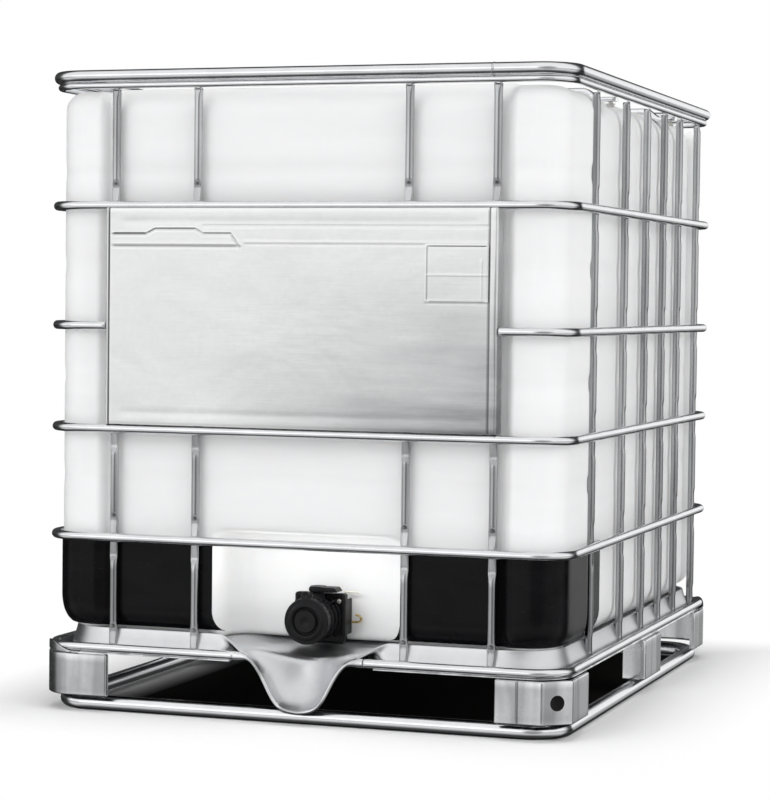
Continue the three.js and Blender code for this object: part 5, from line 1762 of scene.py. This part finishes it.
def floor_paint():
    """Pale matt paint, with a painted shadow darkening the floor under the pallet."""
    n = Nodes("floor_paint")
    cloud = n.noise(0.9, 3.0, 0.5)
    color = n.ramp(cloud, (0.3, (0.92, 0.92, 0.92)), (0.7, (0.93, 0.93, 0.93)))
    # Painted shadow: near black inside the pallet's footprint, fading at its edges.
    across = n.math("MULTIPLY", n.along("X", -0.44, -0.37), n.along("X", 0.48, 0.46))
    along = n.math("MULTIPLY", n.along("Y", -0.565, -0.54), n.along("Y", 0.57, 0.54))
    n.color(n.mix(n.math("MULTIPLY", across, along), color, (0.012, 0.011, 0.010)))
    n.fix(Roughness=0.9, Specular_IOR_Level=0.1)
    return n.material


def glow(n):
    """Makes a material shine plain white and reflect nothing."""
    n.fix(Base_Color=(0, 0, 0, 1), Emission_Color=(1, 1, 1, 1), Emission_Strength=1.0, Specular_IOR_Level=0.0)
    return n.material


def far_white():
    """Glows white beyond the object and is clear round it, so the floor fades into the backdrop."""
    n = Nodes("far_white")
    split = n.add("ShaderNodeSeparateXYZ")
    n.wire(n.where, split.inputs[0])
    beside = n.math("SUBTRACT", n.math("ABSOLUTE", split.outputs["X"], 0.0), 0.5)
    before = n.math("SUBTRACT", n.math("ABSOLUTE", split.outputs["Y"], 0.0), 0.6)
    n.wire(n.span(n.math("MAXIMUM", beside, before), 0.0, 1.0, 0.0, 0.24), n.shader.inputs["Alpha"])
    return glow(n)


def camera_only(obj):
    for ray in ("glossy", "diffuse", "transmission", "shadow"):
        setattr(obj, f"visible_{ray}", False)


floor = stage_disc("floor", 60.0, 0.0, floor_paint())
floor.visible_glossy = False
camera_only(stage_disc("far_floor", 60.0, 0.0008, far_white()))

world = bpy.data.worlds.new("studio")
scene.world = world
world.use_nodes = True
tree = world.node_tree
background = tree.nodes["Background"]
coord = tree.nodes.new("ShaderNodeTexCoord")
split = tree.nodes.new("ShaderNodeSeparateXYZ")
tree.links.new(coord.outputs["Generated"], split.inputs[0])
rise = tree.nodes.new("ShaderNodeValToRGB")
remap = tree.nodes.new("ShaderNodeMapRange")
remap.inputs["From Min"].default_value = -1.0
remap.inputs["From Max"].default_value = 1.0
tree.links.new(split.outputs["Z"], remap.inputs["Value"])
tree.links.new(remap.outputs["Result"], rise.inputs["Fac"])
# The studio's brightness from straight down to straight up.
stops = [(0.0, 0.04), (0.10, 0.08), (0.20, 0.50), (0.32, 0.85), (0.385, 0.50), (0.445, 0.46), (0.478, 0.92),
         (0.508, 1.12), (0.56, 1.10), (0.70, 1.00), (1.0, 0.98)]
while len(rise.color_ramp.elements) < len(stops):
    rise.color_ramp.elements.new(0.5)
for element, (at, value) in zip(rise.color_ramp.elements, stops):
    element.position = at
    element.color = (value, value, value, 1)


def lobe(direction, start, end, value, away=1.0):
    """A fixed direction of the studio with its own strength, and another strength away from it."""
    dot = tree.nodes.new("ShaderNodeVectorMath")
    dot.operation = "DOT_PRODUCT"
    dot.inputs[1].default_value = direction
    fall = tree.nodes.new("ShaderNodeMapRange")
    fall.interpolation_type = "SMOOTHSTEP"
    for socket, number in (("From Min", start), ("From Max", end), ("To Min", away), ("To Max", value)):
        fall.inputs[socket].default_value = number
    tree.links.new(coord.outputs["Generated"], dot.inputs[0])
    tree.links.new(dot.outputs["Value"], fall.inputs["Value"])
    return fall.outputs["Result"]


def combine(kind, first, second):
    node = tree.nodes.new("ShaderNodeMath")
    node.operation = kind
    tree.links.new(first, node.inputs[0])
    tree.links.new(second, node.inputs[1])
    return node.outputs["Value"]


# A dark flag behind the object draws the tubes' outlines, a grey one in front gives them a soft core, and a
# bright card to the front left lights the label plate.
dark_back = lobe((-0.32, 0.947, 0.0), 0.0, 0.40, 0.05)
side_card = lobe((0.28, 0.958, 0.05), 0.930, 0.975, 0.95, 0.0)
grey_front = lobe((0.40, -0.916, 0.0), 0.86, 0.97, 0.42)
left_card = lobe((-0.40, -0.917, 0.0), 0.88, 0.97, 1.30)
front_cards = combine("MULTIPLY", grey_front, left_card)
strength = combine("MULTIPLY", front_cards, combine("MAXIMUM", dark_back, side_card))
tree.links.new(rise.outputs["Color"], background.inputs["Color"])
tree.links.new(strength, background.inputs["Strength"])

dome_mesh = bpy.data.meshes.new("backdrop")
bm = bmesh.new()
bmesh.ops.create_uvsphere(bm, u_segments=48, v_segments=24, radius=58.0)
bm.to_mesh(dome_mesh)
bm.free()
dome = link("backdrop", dome_mesh)
dome.data.materials.append(glow(Nodes("backdrop_white")))
camera_only(dome)


def softbox(name, location, target, size, power, color=(1, 1, 1), glossy=True):
    data = bpy.data.lights.new(name, "AREA")
    data.shape = "RECTANGLE"
    data.size, data.size_y = size
    data.energy = power
    data.color = color
    obj = link(name, data)
    obj.location = location
    direction = Vector(target) - Vector(location)
    obj.rotation_mode = "QUATERNION"
    obj.rotation_quaternion = direction.to_track_quat("-Z", "Y")
    obj.visible_glossy = glossy
    return obj


softbox("key", (-2.6, -4.6, 3.6), (0, 0, 0.55), (2.6, 2.2), 44, glossy=False)
softbox("side", (4.6, -1.6, 3.0), (0, 0, 0.5), (2.6, 2.2), 48, glossy=False)
softbox("overhead", (0, 0, 4.6), (0, 0, 0), (3.6, 3.6), 72, glossy=False)
softbox("pocket_fill", (0.009, -0.585, 0.318), (0.009, -0.455, 0.17), (0.30, 0.03), 0.42, glossy=False)
bpy.data.objects["pocket_fill"].visible_camera = False

# The camera that was fitted to the photo.
camera_data = bpy.data.cameras.new("camera")
camera = link("camera", camera_data)
azimuth, pitch, roll = math.radians(18.77), math.radians(2.30), math.radians(0.67)
back = Vector((math.sin(azimuth) * math.cos(pitch), -math.cos(azimuth) * math.cos(pitch), math.sin(pitch)))
right = Vector((math.cos(azimuth), math.sin(azimuth), 0))
up = back.cross(right)
right, up = right * math.cos(roll) + up * math.sin(roll), up * math.cos(roll) - right * math.sin(roll)
place = Matrix((right, up, back)).transposed().to_4x4()
place.translation = Vector((1.57184, -4.73363, 0.75524))
camera.matrix_world = place
camera_data.lens = 113.58
camera_data.sensor_width = 36.0
camera_data.clip_start, camera_data.clip_end = 0.1, 200.0
scene.camera = camera
scene.view_settings.view_transform = "Standard"
